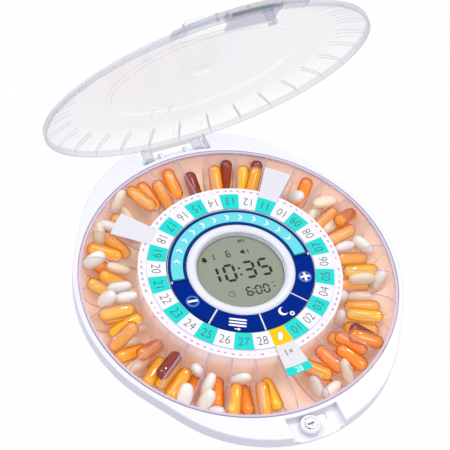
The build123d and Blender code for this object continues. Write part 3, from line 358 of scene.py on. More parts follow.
def pane_finish():
    """Frosted sliding pane: cloudy, with fine moulded texture."""
    finish = Finish("pane_frosted", paint(228, 228, 238), 0.5, IOR=1.5)
    cloud = finish.grain(900.0, 4.0)
    finish.set("Alpha", cloud * 0.2 + 0.42)
    finish.set("Roughness", cloud * 0.2 + 0.4)
    return finish.relief(cloud, 0.05)


TEAL = paint(34, 218, 208)
CARD_WHITE = paint(240, 240, 244)
# painted shade: the tabs' white is a little darker than the card's, for the shade they lie in
SHADED_TAB_WHITE = paint(228, 226, 230)


def card_finish():
    """Printed card: teal and white cells by their number, a yellow home cell, a teal tab end, and the
    rest of the tab in a darker white that is painted shade.
    """
    finish = Finish("card_printed", CARD_WHITE, 0.42, Specular_IOR_Level=0.06)
    radius, angle, _ = finish.polar()
    number = ((angle - HOME_ANGLE) / CELL_STEP + 0.5).floor().wrapped(CELLS)
    odd = number.wrapped(2.0) > 0.5
    home = number < 0.5
    on_ring = 1 - (radius > CARD_EDGE)
    ink = finish.mix(odd, CARD_WHITE, TEAL)
    ink = finish.mix(home, ink, paint(247, 202, 0))
    # painted shade: off the ring the tab takes the darker white
    ink = finish.mix(on_ring, SHADED_TAB_WHITE, ink)
    ink = finish.mix(radius > TAB_END, ink, TEAL)
    fibres = finish.grain(1600.0, 4.0)
    finish.set("Base Color", finish.mix(fibres * 0.04, ink, paint(120, 130, 150)))
    finish.set("Roughness", fibres * 0.12 + 0.42)
    return finish.relief(fibres, 0.006)


def blank_card_finish():
    """White card stock with a soft satin surface, in the tabs' darker white that is painted shade."""
    return Finish("card_blank", SHADED_TAB_WHITE, 0.42, Specular_IOR_Level=0.2).cloudy(
        SHADED_TAB_WHITE, paint(222, 222, 230), 1600.0, 0.006, (0.4, 0.52))


def arc_finish():
    """Printed arc: light blue with a dark blue border all round."""
    finish = Finish("arc_print", paint(121, 220, 231), 0.4, Specular_IOR_Level=0.05)
    radius, angle, _ = finish.polar(finish.moved(turn=(0, 0, -TURRET_TURN)))
    flank = (angle - 90.0).size()
    inner, outer = ARC_BAND
    border = (radius > outer).most(radius < inner).most(flank > ARC_END)
    trim = (flank > ARC_END) * (1 - (flank > ARC_END + 1.2)) * (radius < outer) * (radius > inner)
    grain = finish.grain(1500.0, 4.0)
    ink = finish.mix(border, paint(112, 218, 228), paint(0, 56, 122))
    ink = finish.mix(trim, ink, paint(30, 140, 170))
    finish.set("Base Color", finish.mix(grain * 0.05, ink, paint(20, 100, 150)))
    finish.set("Roughness", grain * 0.1 + 0.28)
    return finish.relief(grain, 0.004)


def key_finish(name, dome_angle=None):
    """Royal blue key; round its dome a painted sheen lightens the blue where the dome turns over."""
    blue = paint(0, 37, 130)
    finish = Finish(name, blue, 0.4, Specular_IOR_Level=0.02)
    grain = finish.grain(1900.0, 4.0)
    ink = finish.mix(grain * 0.3, blue, paint(4, 48, 146))
    if dome_angle is not None:
        turn = math.radians(dome_angle)
        middle = (-KEY_CIRCLE * MM * math.cos(turn), -KEY_CIRCLE * MM * math.sin(turn), 0.0)
        reach, _, _ = finish.polar(finish.moved(shift=middle))
        # painted sheen: a ring of lighter blue where the dome curves down stands for the light on its
        # flank
        ring = reach.rise(2.2, 3.9) * (1 - reach.rise(3.9, 4.3))
        ink = finish.mix(ring * 0.8, ink, paint(104, 146, 214))
    finish.set("Base Color", ink)
    finish.set("Roughness", grain * 0.14 + 0.3)
    return finish.relief(grain, 0.01)


def display_finish():
    """Grey-green reflective display: slight cloudiness, and a painted shadow that darkens it towards
    the rim of the window.
    """
    finish = Finish("display_grey_green", paint(146, 153, 135), 0.45, Specular_IOR_Level=0.1)
    radius, _, _ = finish.polar()
    cloud = finish.grain(120.0, 3.0)
    shade = finish.mix(cloud * 0.5, paint(149, 156, 138), paint(141, 149, 130))
    # painted shadow: the dark ring at the window's rim stands for the shade of the bezel's inner wall
    finish.set("Base Color", finish.mix(radius.rise(26.4, 28.2), shade, paint(84, 90, 78)))
    finish.set("Roughness", cloud * 0.1 + 0.4)
    return finish.relief(finish.grain(2000.0), 0.003)


def window_finish():
    """Clear display window with a faint hard coat."""
    finish = Finish("window_clear", paint(200, 205, 205), 0.05, IOR=1.49)
    finish.set("Alpha", finish.facing(0.4) ** 3.0 * 0.4 + 0.02)
    finish.lets_lamps_through()
    return finish.relief(finish.grain(50.0), 0.01)


def label_finish():
    """Turquoise lid label, mottled with a lighter turquoise."""
    finish = Finish("label_turquoise", paint(40, 196, 178), 0.35, Coat_Weight=0.4)
    grain = finish.grain(1300.0, 4.0)
    finish.set("Base Color", finish.mix(grain * 0.25, paint(40, 196, 178), paint(70, 214, 198)))
    finish.set("Roughness", grain * 0.1 + 0.3)
    return finish.relief(grain, 0.005)


def board_finish():
    """Green circuit board: copper tracks under the lacquer and small plated holes."""
    finish = Finish("board_green", paint(24, 104, 62), 0.4, Coat_Weight=0.4)
    tracks = finish.flecks(260.0, "DISTANCE_TO_EDGE").rise(0.02, 0.05)
    holes = finish.flecks(330.0).rise(0.08, 0.13)
    ink = finish.mix(tracks, paint(64, 148, 86), paint(22, 98, 58))
    finish.set("Base Color", finish.mix(holes, paint(206, 196, 150), ink))
    finish.set("Roughness", tracks * 0.15 + 0.32)
    return finish.relief(tracks, 0.03)


def sleeve_finish():
    """Battery sleeve: plain two-colour wrap with a bare steel end."""
    finish = Finish("battery_wrap", paint(40, 44, 52), 0.28, Coat_Weight=0.6)
    _, y, _ = finish.axes()
    band = y.rise(-6.2, -5.8)
    ends = (y > 9.6).most(y < -38.7)
    scuff = finish.grain(500.0, 4.0)
    ink = finish.mix(band, paint(38, 42, 50), paint(196, 140, 70))
    finish.set("Base Color", finish.mix(ends, ink, paint(200, 202, 206)))
    finish.set("Metallic", ends * 1.0)
    finish.set("Roughness", scuff * 0.15 + 0.2)
    return finish.relief(scuff, 0.01)


def foot_finish():
    """Soft rubber feet with moulded rings under them."""
    finish = Finish("foot_rubber", paint(56, 56, 60), 0.8)
    x, y, _ = finish.axes()
    side, front = x.size() - FOOT_PLACE, y.size() - FOOT_PLACE
    across = (side * side + front * front) ** 0.5
    rings = (across * 2.6).sine()
    dust = finish.grain(900.0, 5.0)
    finish.set("Base Color", finish.mix(dust, paint(50, 50, 54), paint(72, 72, 76)))
    finish.set("Roughness", dust * 0.15 + 0.7)
    return finish.relief(rings * 0.8 + dust * 0.4, 0.12)


def mat_finish():
    """Silicone key mat, slightly see-through grey."""
    return Finish("silicone_grey", paint(150, 154, 160), 0.6, Subsurface_Weight=0.1).cloudy(
        paint(148, 152, 158), paint(162, 166, 172), 1200.0, 0.02, (0.5, 0.65))


def nylon(name, shade):
    """Gear nylon: waxy, slightly translucent, with flow marks."""
    darker = tuple(part * 0.92 for part in shade[:3]) + (1.0,)
    return Finish(name, shade, 0.4, Subsurface_Weight=0.15).cloudy(
        shade, darker, 1200.0, 0.02, (0.32, 0.46))


def ring_gear_finish():
    """The tray's gear: translucent, seen through the clear ledge as small dashes."""
    shades = (paint(226, 200, 206), paint(170, 130, 156))
    return clear_plastic("ring_gear_clear", *shades, 0.35, 0.85, 1.0, 0.25)


def softgel(name, heart, skin, spot):
    """Softgel: light comes through it, and its skin is deeper in colour where seen along itself; a
    painted glow brightens its side away from the lamps, and it glows faintly as painted light.
    """
    finish = Finish(name, heart, 0.06, IOR=1.38, Transmission_Weight=0.6, Coat_Weight=1.0,
                    Coat_Roughness=0.02, Coat_IOR=1.7, Emission_Strength=0.2)
    along = finish.facing(0.45)
    swirl = finish.grain(110.0, 3.0)
    # painted light: the side facing down and to the front, away from the lamps, takes the brighter
    # spot colour as if light came through the pill; the swirl adds random tone
    painted_glow_and_swirl = (finish.slant((0.45, -0.82, -0.35)) + swirl * 0.5 - 0.25).rise(0.3, 0.8)
    inner = finish.mix(painted_glow_and_swirl, heart, spot)
    finish.set("Base Color", finish.mix(along.rise(0.12, 0.62), inner, skin))
    # painted glow: with the emission strength of 0.2 set above, the pill gives off a faint light in
    # its own colour, dark at the edges seen along it
    finish.set("Emission Color", finish.mix(along.rise(0.05, 0.5), inner, paint(60, 10, 0)))
    finish.set("Roughness", swirl * 0.06 + 0.05)
    return finish.relief(finish.grain(160.0), 0.05)


def tablet(name, shade, speck):
    """Pressed tablet: chalky, very finely speckled, soft sheen of its film coat."""
    finish = Finish(name, shade, 0.4, Coat_Weight=0.3, Coat_Roughness=0.25, Subsurface_Weight=0.08)
    powder = finish.grain(2200.0, 5.0, 0.7)
    finish.set("Base Color", finish.mix(powder.rise(0.45, 0.8), shade, speck))
    finish.set("Roughness", powder * 0.2 + 0.3)
    return finish.relief(powder, 0.03)


def ink(name, shade, gloss=0.35):
    """Screen-printed ink with a slightly broken surface."""
    finish = Finish(name, shade, gloss)
    lay = finish.grain(2600.0, 4.0)
    paler = tuple(min(1.0, part * 1.12 + 0.01) for part in shade[:3]) + (1.0,)
    finish.set("Base Color", finish.mix(lay.rise(0.5, 0.8), shade, paler))
    finish.set("Roughness", lay * 0.15 + gloss - 0.07)
    return finish.relief(lay, 0.003)


def lock_finish():
    """Lock cap: a white collar round a mottled, polished metal face."""
    finish = Finish("lock_cap", paint(226, 227, 234), 0.3)
    x, y, _ = finish.axes()
    face = 1 - (((x - LOCK[0]) ** 2 + (y - LOCK[1]) ** 2) ** 0.5).rise(4.4, 4.6)
    mottled = finish.grain(800.0, 4.0, 0.7).rise(0.4, 0.62)
    polished = finish.mix(mottled, paint(150, 150, 156), paint(214, 214, 220))
    collar = finish.mix(mottled, paint(226, 227, 234), paint(232, 232, 240))
    finish.set("Base Color", finish.mix(face, collar, polished))
    finish.set("Metallic", face)
    finish.set("Roughness", face * 0.1 + mottled * 0.1 + 0.22)
    return finish.relief(mottled, 0.02)


steel = metal("screw_steel", paint(186, 188, 192), 0.3)
chromed = metal("lock_chromed", paint(206, 206, 212), 0.34)
brass = metal("pinion_brass", paint(214, 180, 108), 0.3)
copper_sheet = metal("contact_sheet", paint(206, 204, 196), 0.3)
motor_steel = metal("motor_steel", paint(190, 192, 196), 0.34, 700.0, (1, 1, 0.1))
black_plastic = moulded("black_plastic", paint(34, 35, 38), (0.35, 0.5), 0.02)
gear_cream = nylon("gear_nylon", paint(236, 232, 218))
gear_grey = nylon("gear_plate_grey", paint(206, 208, 214))

finishes = {
    "upper_housing": housing_white, "lower_housing": dish_white, "battery_door": dish_white,
    "rubber_feet": foot_finish(), "housing_screws": steel, "battery_door_screw": steel,
    "battery_contacts": copper_sheet, "circuit_board": board_finish(), "board_screws": steel,
    "tact_switches": black_plastic, "display_holder": black_plastic,
    "display_glass": display_finish(), "display_window": window_finish(),
    "bezel_ring": bezel_white, "arc_panel": arc_finish(), "arc_spacer": mat_finish(),
    "key_mat": mat_finish(), "minus_key": key_finish("key_blue_minus", TURRET_TURN - 157.0),
    "menu_key": key_finish("key_blue_menu"), "sleep_key": key_finish("key_blue_sleep"),
    "plus_key": key_finish("key_blue_plus", TURRET_TURN - 23.0), "buzzer": black_plastic,
    "tilt_sensor": steel, "position_switch": black_plastic, "gear_plate": gear_grey,
    "gear_plate_screws": steel, "drive_motor": motor_steel, "motor_screws": steel,
    "motor_pinion": brass, "compound_axle": steel, "compound_gear": gear_cream,
    "transfer_gear": gear_cream, "drive_shaft": steel, "drive_pinion": gear_cream,
    "shaft_bush": brass, "tray_pan": tray_finish(), "tray_dividers": divider_finish(),
    "tray_ring_gear": ring_gear_finish(), "lower_ring_card": blank_card_finish(),
    "middle_ring_card": blank_card_finish(), "dose_ring_card": card_finish(),
    "lock_barrel": lock_finish(), "lock_plug": chromed, "lock_cam": steel,
    "hinge_pin": bezel_white, "lid_shell": lid_finish(), "lid_label": label_finish(),
    "door_rails": lid_finish(), "dispensing_door": pane_finish(),
    "battery_cell_1": sleeve_finish(), "battery_cell_2": sleeve_finish(),
    "battery_cell_3": sleeve_finish(), "battery_cell_4": sleeve_finish(),
}
for node_name, finish in finishes.items():
    for material_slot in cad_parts[node_name].material_slots:
        material_slot.material = finish.material


# ---------------------------------------------------------------- making pieces

def piece(name, points, faces, finish, body, smooth=False):
    """A mesh object from points in millimetres; it stays at the origin and rides on a body."""
    mesh = bpy.data.meshes.new(name)
    sides = [tuple(map(int, face)) for face in faces]
    mesh.from_pydata((np.asarray(points, float) * MM).tolist(), [], sides)
    mesh.materials.append(finish.material)
    mesh.polygons.foreach_set("use_smooth", np.full(len(mesh.polygons), smooth))
    mesh.update()
    made = bpy.data.objects.new(name, mesh)
    bpy.context.scene.collection.objects.link(made)
    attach(made, body)
    return made


def joined(parts):
    """Several (points, faces) in one list, later faces counted on from the earlier points."""
    points, faces, start = [], [], 0
    for spots, sides in parts:
        spots = np.asarray(spots, float)
        points.append(spots)
        faces += [tuple(int(corner) + start for corner in side) for side in sides]
        start += len(spots)
    return np.concatenate(points), faces


def top_of(node):
    """Height in millimetres of a node's highest point."""
    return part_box(node)[1][2] / MM


def print_plate(outline, low, high):
    """A flat shape, its outline counter-clockwise: the top face, and a skirt down to low."""
    flat = np.asarray(outline, float)
    count = len(flat)
    upper = np.column_stack([flat, np.full(count, high)])
    lower = np.column_stack([flat, np.full(count, low)])
    after = (np.arange(count) + 1) % count
    skirt = np.column_stack([np.arange(count) + count, after + count, after, np.arange(count)])
    return np.vstack([upper, lower]), [tuple(range(count))] + [tuple(side) for side in skirt]


def hoop(inner, outer, start, end, low, high, steps=24):
    """Part of a flat ring: two arcs of points joined by four-sided faces, with a skirt round it."""
    angles = np.radians(np.linspace(start, end, steps + 1))
    arc = np.column_stack([np.cos(angles), np.sin(angles)])
    return print_strip(arc * inner, arc * outer, low, high)


def print_strip(left, right, low, high):
    """A band between two rows of points, top face and both edges."""
    left, right = np.asarray(left, float), np.asarray(right, float)
    count = len(left)
    rows = [np.column_stack([row, np.full(count, level)])
            for row in (left, right) for level in (high, low)]
    first = np.arange(count - 1)
    top = np.column_stack([first, first + 2 * count, first + 1 + 2 * count, first + 1])
    inner = np.column_stack([first, first + 1, first + 1 + count, first + count])
    outer = np.column_stack([first + 2 * count, first + 3 * count,
                             first + 1 + 3 * count, first + 1 + 2 * count])
    sides = [tuple(side) for side in np.vstack([top, inner, outer])]
    return np.vstack(rows), sides


def placed(parts, middle, turn, rise=None):
    """Flat parts turned by degrees and moved to a middle; rise gives extra height at (x, y)."""
    angle = math.radians(turn)
    spin = np.array([[math.cos(angle), math.sin(angle)], [-math.sin(angle), math.cos(angle)]])
    moved = []
    for points, faces in parts:
        spots = np.asarray(points, float).copy()
        spots[:, :2] = spots[:, :2] @ spin
        if rise is not None:
            spots[:, 2] += rise(spots[:, :2])
        spots[:, :2] += middle
        moved.append((spots, faces))
    return moved


def lettered(text, height, thin, narrow):
    """Numbers in the plain built-in face, as a flat print on the card, digits that tall."""
    curve = bpy.data.curves.new("digits", "FONT")
    curve.body = text
    curve.align_x = "CENTER"
    curve.resolution_u = 4
    curve.offset = -thin
    curve.extrude = 0.01
    holder = bpy.data.objects.new("digits", curve)
    bpy.context.scene.collection.objects.link(holder)
    settled = holder.evaluated_get(bpy.context.evaluated_depsgraph_get())
    flat = bpy.data.meshes.new_from_object(settled)
    points = np.empty(len(flat.vertices) * 3)
    flat.vertices.foreach_get("co", points)
    points = points.reshape(-1, 3)
    faces = [tuple(side.vertices) for side in flat.polygons]
    bpy.data.objects.remove(holder)
    bpy.data.curves.remove(curve)
    bpy.data.meshes.remove(flat)
    tall = np.ptp(points[:, 1])
    points[:, :2] -= (points[:, :2].max(axis=0) + points[:, :2].min(axis=0)) / 2.0
    points[:, :2] *= height / tall
    points[:, 0] *= narrow
    points[:, 2] = np.where(points[:, 2] > 0.0, card_face + PRINT_RISE, card_face - PRINT_SINK)
    return points, faces


# ---------------------------------------------------------------- printing on the cards

card_face = top_of("dose_ring_card")
number_ink = ink("number_ink", paint(58, 60, 70))
numbers = []
for cell in range(1, CELLS):
    angle = HOME_ANGLE + cell * CELL_STEP
    spot = CARD_MIDDLE * np.array([math.cos(math.radians(angle)), math.sin(math.radians(angle))])
    digits = lettered(f"{cell:02d}", 5.7, 0.014, 0.86)
    numbers += placed([digits], spot, angle + 90.0)
piece("cell_numbers", *joined(numbers), number_ink, "tray")


def home_frame(parts, radius):
    """Parts put on the home cell, their tops towards the turret."""
    angle = math.radians(HOME_ANGLE)
    return placed(parts, radius * np.array([math.cos(angle), math.sin(angle)]), HOME_ANGLE + 90.0)


tab_number = home_frame([lettered("1×", 4.4, 0.006, 0.9)], 64.6)
piece("tab_number", *joined(tab_number), number_ink, "tray")
tab_days = home_frame([lettered("28", 3.6, 0.004, 0.95)], 77.3)
piece("tab_days", *joined(tab_days), ink("tab_ink", paint(246, 252, 252)), "tray")


def lozenge(half_length, half_width, power=2.6, count=40, turn=0.0):
    """A rounded oval: |x/a|^p + |y/b|^p = 1, turned by an angle."""
    angle = np.linspace(0.0, 2.0 * np.pi, count, endpoint=False)
    x = np.sign(np.cos(angle)) * np.abs(np.cos(angle)) ** (2.0 / power) * half_length
    y = np.sign(np.sin(angle)) * np.abs(np.sin(angle)) ** (2.0 / power) * half_width
    along, across = math.cos(math.radians(turn)), math.sin(math.radians(turn))
    return np.column_stack([x * along - y * across, x * across + y * along])


for name, half_length, half_width, low, high, shade in (
        ("home_picture_rim", 3.2, 1.75, -PRINT_SINK, 0.025, ink("picture_line", paint(150, 120, 60))),
        ("home_picture", 2.95, 1.5, 0.0, 0.04, ink("picture_white", paint(250, 250, 250)))):
    oval = lozenge(half_length, half_width, 2.6, 40, 62.0)
    oval = print_plate(oval, card_face + low, card_face + high)
    piece(name, *joined(home_frame([oval], CARD_MIDDLE)), shade, "tray")


# ---------------------------------------------------------------- display

glass = top_of("display_glass")
lcd_levels = (glass, glass + PRINT_RISE)
lcd_ink = Finish("lcd_segments", paint(14, 18, 16), 0.5, Specular_IOR_Level=0.05).cloudy(
    paint(12, 15, 14), paint(20, 24, 22), 900.0, 0.002)
LIT = {"0": "abcdef", "1": "bc", "3": "abcdg", "5": "acdfg", "6": "acdefg"}


def segment(start, end, thick):
    """A bar from start to end with pointed ends, as an outline."""
    start, end = np.array(start, float), np.array(end, float)
    along = (end - start) / np.linalg.norm(end - start)
    side = np.array([-along[1], along[0]]) * thick / 2.0
    inset = along * thick / 2.0
    return np.array([start, start + inset - side, end - inset - side,
                     end, end - inset + side, start + inset + side])


def digit(sign, middle, wide, tall, thick, gap):
    """A seven-segment digit: bars between the corners of a box and across its middle."""
    half, rise = (wide - thick) / 2.0, (tall - thick) / 2.0
    ends = {
        "a": ((-half, rise), (half, rise)), "b": ((half, rise), (half, 0.0)),
        "c": ((half, 0.0), (half, -rise)), "d": ((-half, -rise), (half, -rise)),
        "e": ((-half, 0.0), (-half, -rise)), "f": ((-half, rise), (-half, 0.0)),
        "g": ((-half, 0.0), (half, 0.0)),
    }
    made = []
    for bar in LIT[sign]:
        start, end = (np.array(point) for point in ends[bar])
        along = (end - start) / np.linalg.norm(end - start) * gap
        made.append(lcd_plate(segment(start + along, end - along, thick), middle))
    return made


def lcd_plate(outline, middle):
    """A dark shape on the display, moved to a middle."""
    return print_plate(np.array(outline) + middle, *lcd_levels)


def dot(middle, radius):
    """A small round dot."""
    return lcd_plate(lozenge(radius, radius, 2.0, 14), middle)


lcd = []
for sign, u in (("1", -17.2), ("0", -6.6), ("3", 6.2), ("5", 16.2)):
    lcd += digit(sign, (u, 0.8), 7.8, 13.2, 1.75, 0.34)
for sign, u in (("6", 1.2), ("0", 7.2), ("0", 12.2)):
    lcd += digit(sign, (u, -15.0), 4.2, 6.8, 1.0, 0.1)
for sign, u, v in (("1", -14.2, 14.3), ("6", -3.6, 15.0)):
    lcd += digit(sign, (u, v), 3.0, 5.2, 0.74, 0.06)
for u, v, radius in ((0.0, 3.0, 0.8), (0.0, -1.8, 0.8), (4.2, -13.6, 0.5), (4.2, -16.4, 0.5)):
    lcd.append(dot((u, v), radius))


def bell(middle, size):
    """A bell: a dome that flares to its lip, and a clapper."""
    level = np.linspace(0.0, 1.0, 14)
    flare = 0.34 + 0.18 * level ** 3
    crown = np.sqrt(np.clip(1.0 - (1.0 - np.minimum(level * 2.4, 1.0)) ** 2, 0.0, 1.0))
    width = flare * crown
    height = 0.5 - level
    right = np.column_stack([width, height])
    outline = np.vstack([right[::-1], right[1:-1] * (-1.0, 1.0)]) * size
    outline = outline[::-1] if turning(outline) < 0 else outline
    return [lcd_plate(outline, middle), dot(np.array(middle) - (0.0, 0.62 * size), 0.13 * size)]


def turning(outline):
    """Twice the signed area: positive when the outline runs counter-clockwise."""
    after = np.roll(outline, -1, axis=0)
    return float(np.sum(outline[:, 0] * after[:, 1] - after[:, 0] * outline[:, 1]))


def upright_box(left, low, right, high):
    """The four corners of a box, counter-clockwise."""
    return [(right, low), (right, high), (left, high), (left, low)]


lcd += bell((-19.6, 13.8), 3.7)
speaker = [(-1.5, -0.9), (-0.4, -0.9), (1.1, -2.0), (1.1, 2.0), (-0.4, 0.9), (-1.5, 0.9)]
lcd.append(lcd_plate(speaker, (6.0, 14.6)))
for reach in (1.5, 2.4):
    lcd += placed([hoop(reach, reach + 0.4, -38.0, 38.0, *lcd_levels, 8)], (7.2, 14.6), 0.0)
battery_sign = (
    (-1.9, 0.8, 1.9, 1.1), (-1.9, -1.1, 1.9, -0.8), (-1.9, -1.1, -1.6, 1.1), (1.6, -1.1, 1.9, 1.1),
    (1.9, -0.4, 2.4, 0.4), (-1.3, -0.6, -0.5, 0.6), (-0.2, -0.6, 0.6, 0.6),
)
for sides in battery_sign:
    lcd.append(lcd_plate(upright_box(*sides), (7.2, 23.0)))
clock_middle = (-10.0, -14.6)
lcd += placed([hoop(1.9, 2.2, 0.0, 360.0, *lcd_levels, 28)], clock_middle, 0.0)
for tip in ((0, 1.5), (1.1, -0.5)):
    lcd.append(lcd_plate(segment((0, 0), tip, 0.35), clock_middle))
for v in (-11.6, -14.6):
    lcd.append(lcd_plate(segment((-1.1, 0), (1.1, 0), 0.5), (17.6, v)))
piece("lcd_marks", *joined(placed(lcd, (0.0, 0.0), DISPLAY_TURN)), lcd_ink, "base")


# ---------------------------------------------------------------- keys and arc

key_white = ink("key_white", paint(248, 248, 252), 0.32)
DOME_REACH, DOME_RISE = 4.2, 0.6
DOME_BALL = (DOME_REACH ** 2 + DOME_RISE ** 2) / (2.0 * DOME_RISE)


def over_dome(spots):
    """Height of the key's round dome above its flat top: a slice of a ball, 0 outside it."""
    reach = np.minimum(np.hypot(spots[:, 0], spots[:, 1]), DOME_REACH)
    return np.sqrt(DOME_BALL ** 2 - reach ** 2) - (DOME_BALL - DOME_RISE)


def bar(half_length, half_width, low, high, steps=12):
    """A straight bar along x in short lengths, so that it can follow a dome."""
    x = np.linspace(-half_length, half_length, steps + 1)
    lower = np.column_stack([x, np.full_like(x, -half_width)])
    upper = np.column_stack([x, np.full_like(x, half_width)])
    return print_strip(upper, lower, low, high)


def key_spot(angle, radius):
    """A point on the turret, the angle counted from its front and turned with it."""
    turn = math.radians(TURRET_TURN + angle)
    return radius * np.array([math.cos(turn), math.sin(turn)])


plus_top = top_of("plus_key") - DOME_RISE
key_low, key_high = plus_top - 0.01, plus_top + 0.05
dash = bar(3.1, 0.8, key_low, key_high)
for name, parts, angle, body in (
        ("plus_mark", [dash] + placed([dash], (0.0, 0.0), 90.0), -23.05, "plus_key_body"),
        ("minus_mark", [dash], -156.95, "minus_key_body")):
    mark = placed(parts, key_spot(angle, KEY_CIRCLE), TURRET_TURN - 3.0, over_dome)
    piece(name, *joined(mark), key_white, body)

menu = []
for v in (2.9, 0.7, -1.5):
    menu.append(print_plate(lozenge(5.4, 0.62, 6.0, 28) + (0.0, v), key_low, key_high))
arrow = [(-1.6, -0.35), (0.5, -0.35), (0.5, -1.25), (2.2, 0.0),
         (0.5, 1.25), (0.5, 0.35), (-1.6, 0.35)]
menu.append(print_plate(np.array(arrow) + (0.0, -4.0), key_low, key_high))
menu = placed(menu, key_spot(-112.2, KEY_CIRCLE + 0.6), TURRET_TURN - 22.2)
piece("menu_mark", *joined(menu), key_white, "menu_key_body")


def crescent(size):
    """A crescent moon: the band between a circle's arc and that of a smaller one beside it."""
    outer = np.radians(np.linspace(50.0, 310.0, 30))
    inner = np.radians(np.linspace(68.0, 292.0, 30))
    big = np.column_stack([np.cos(outer), np.sin(outer)])
    small = np.column_stack([0.42 + 0.82 * np.cos(inner), 0.82 * np.sin(inner)])
    return small * size, big * size


def cog(size, teeth=8):
    """A small toothed wheel with a round hole, as a band between its hole and its toothed edge."""
    angle = np.linspace(0.0, 2.0 * np.pi, teeth * 4 + 1)
    edge = np.where((np.arange(teeth * 4 + 1) % 4) < 2, 1.0, 0.76) * size
    around = np.column_stack([np.cos(angle), np.sin(angle)])
    return around * 0.38 * size, around * edge[:, None]


sleep = placed([print_strip(*crescent(3.0), key_low, key_high)], (-0.2, 1.4), 0.0)
sleep += placed([print_strip(*cog(1.75), key_low, key_high)], (3.3, -3.1), 0.0)
sleep = placed(sleep, key_spot(-67.8, KEY_CIRCLE + 0.4), TURRET_TURN + 22.2)
piece("sleep_mark", *joined(sleep), key_white, "sleep_key_body")

arc_face = top_of("arc_panel")


def round_arc(outline, low, high, angles, radius):
    """The same flat shape at each angle on the arc panel, its top away from the axis."""
    shape = print_plate(outline, arc_face + low, arc_face + high)
    marks = []
    for angle in angles:
        marks += placed([shape], key_spot(angle, radius), TURRET_TURN + angle - 90.0)
    return joined(marks)


chevron = [(0.1, 0.0), (-1.5, -1.9), (-0.2, -1.9), (1.4, 0.0), (-0.2, 1.9), (-1.5, 1.9)]
chevrons = round_arc(chevron, -0.01, 0.04, np.linspace(158.0, 22.0, 12), KEY_CIRCLE)
piece("arc_chevrons", *chevrons, ink("arc_white", paint(250, 252, 252), 0.3), "base")
notch = [(-1.3, -0.5), (1.3, -0.5), (0.9, 0.55), (0.0, 0.1), (-0.9, 0.55)]
piece("arc_end_marks", *round_arc(notch, 0.0, 0.05, (0.2, 179.8), 45.0), key_white, "base")


# ---------------------------------------------------------------- contents of the compartments

def turned_solid(along, width):
    """A closed solid round the x axis: a point at each end and rings between them."""
    around = np.linspace(0.0, 2.0 * np.pi, 20, endpoint=False)
    rings = len(along) - 2
    x = np.repeat(along[1:-1], len(around))
    reach = np.repeat(width[1:-1], len(around))
    turn = np.tile(around, rings)
    body = np.column_stack([x, reach * np.cos(turn), reach * np.sin(turn)])
    points = np.vstack([[along[0], 0, 0], body, [along[-1], 0, 0]])
    here = np.arange(len(around))
    after = (here + 1) % len(around)
    faces = [(0, 1 + b, 1 + a) for a, b in zip(here, after)]
    rows = np.arange(rings - 1)[:, None] * len(around) + 1
    next_rows = rows + len(around)
    quads = np.stack([rows + here, rows + after, next_rows + after, next_rows + here], axis=-1)
    faces += [tuple(side) for side in quads.reshape(-1, 4)]
    last = 1 + (rings - 1) * len(around)
    faces += [(last + a, last + b, len(points) - 1) for a, b in zip(here, after)]
    return points, faces


def softgel_shape(radius, straight):
    """Two half balls on a short cylinder: along = offset + r sin t, width = r (cos t)^0.97."""
    turn = np.linspace(-np.pi / 2.0, np.pi / 2.0, 21)
    offset = straight * np.clip(turn / 0.3, -1.0, 1.0)
    return turned_solid(radius * np.sin(turn) + offset, radius * np.cos(turn) ** 0.97)


def tablet_shape(half_length, half_width, half_height):
    """An oval pressed tablet: a ball stretched to its three half sizes, with fuller shoulders."""
    turn = np.linspace(-np.pi / 2.0, np.pi / 2.0, 13)
    points, faces = turned_solid(half_length * np.sin(turn), np.cos(turn) ** 0.82)
    squared = np.abs(points[:, 1:]) ** 0.9 * np.sign(points[:, 1:])
    return np.column_stack([points[:, 0], squared * (half_width, half_height)]), faces


def laid(shape, cell, x, y, z, roll, pitch, yaw):
    """A pill turned by its three angles and put in its cell; x points away from the axis."""
    points, faces = shape
    turn = Matrix.Rotation(math.radians(yaw), 3, "Z") @ Matrix.Rotation(math.radians(pitch), 3, "Y")
    turn = np.array(turn @ Matrix.Rotation(math.radians(roll), 3, "X"))
    around = np.array(Matrix.Rotation(math.radians(HOME_ANGLE + cell * CELL_STEP), 3, "Z"))
    return (points @ turn.T + (x, y, z)) @ around.T, faces


shapes = {
    "A": softgel_shape(4.5, 7.3), "O": softgel_shape(4.6, 6.6),
    "R": softgel_shape(4.3, 7.0), "Y": softgel_shape(4.4, 7.6),
    "W": tablet_shape(7.6, 4.6, 3.4), "C": tablet_shape(8.4, 4.4, 3.3),
}
pill_finishes = {
    "A": ("amber_softgels", softgel(
        "softgel_amber", paint(255, 188, 36), paint(200, 98, 6), paint(255, 224, 96))),
    "O": ("orange_softgels", softgel(
        "softgel_orange", paint(254, 162, 28), paint(184, 72, 4), paint(255, 208, 76))),
    "R": ("red_softgels", softgel(
        "softgel_red", paint(150, 34, 4), paint(64, 8, 2), paint(222, 96, 26))),
    "Y": ("yellow_softgels", softgel(
        "softgel_yellow", paint(255, 208, 40), paint(212, 126, 8), paint(255, 234, 120))),
    "W": ("white_tablets", tablet("tablet_white", paint(246, 244, 240), paint(232, 228, 222))),
    "C": ("cream_tablets", tablet("tablet_cream", paint(248, 232, 208), paint(236, 214, 184))),
}
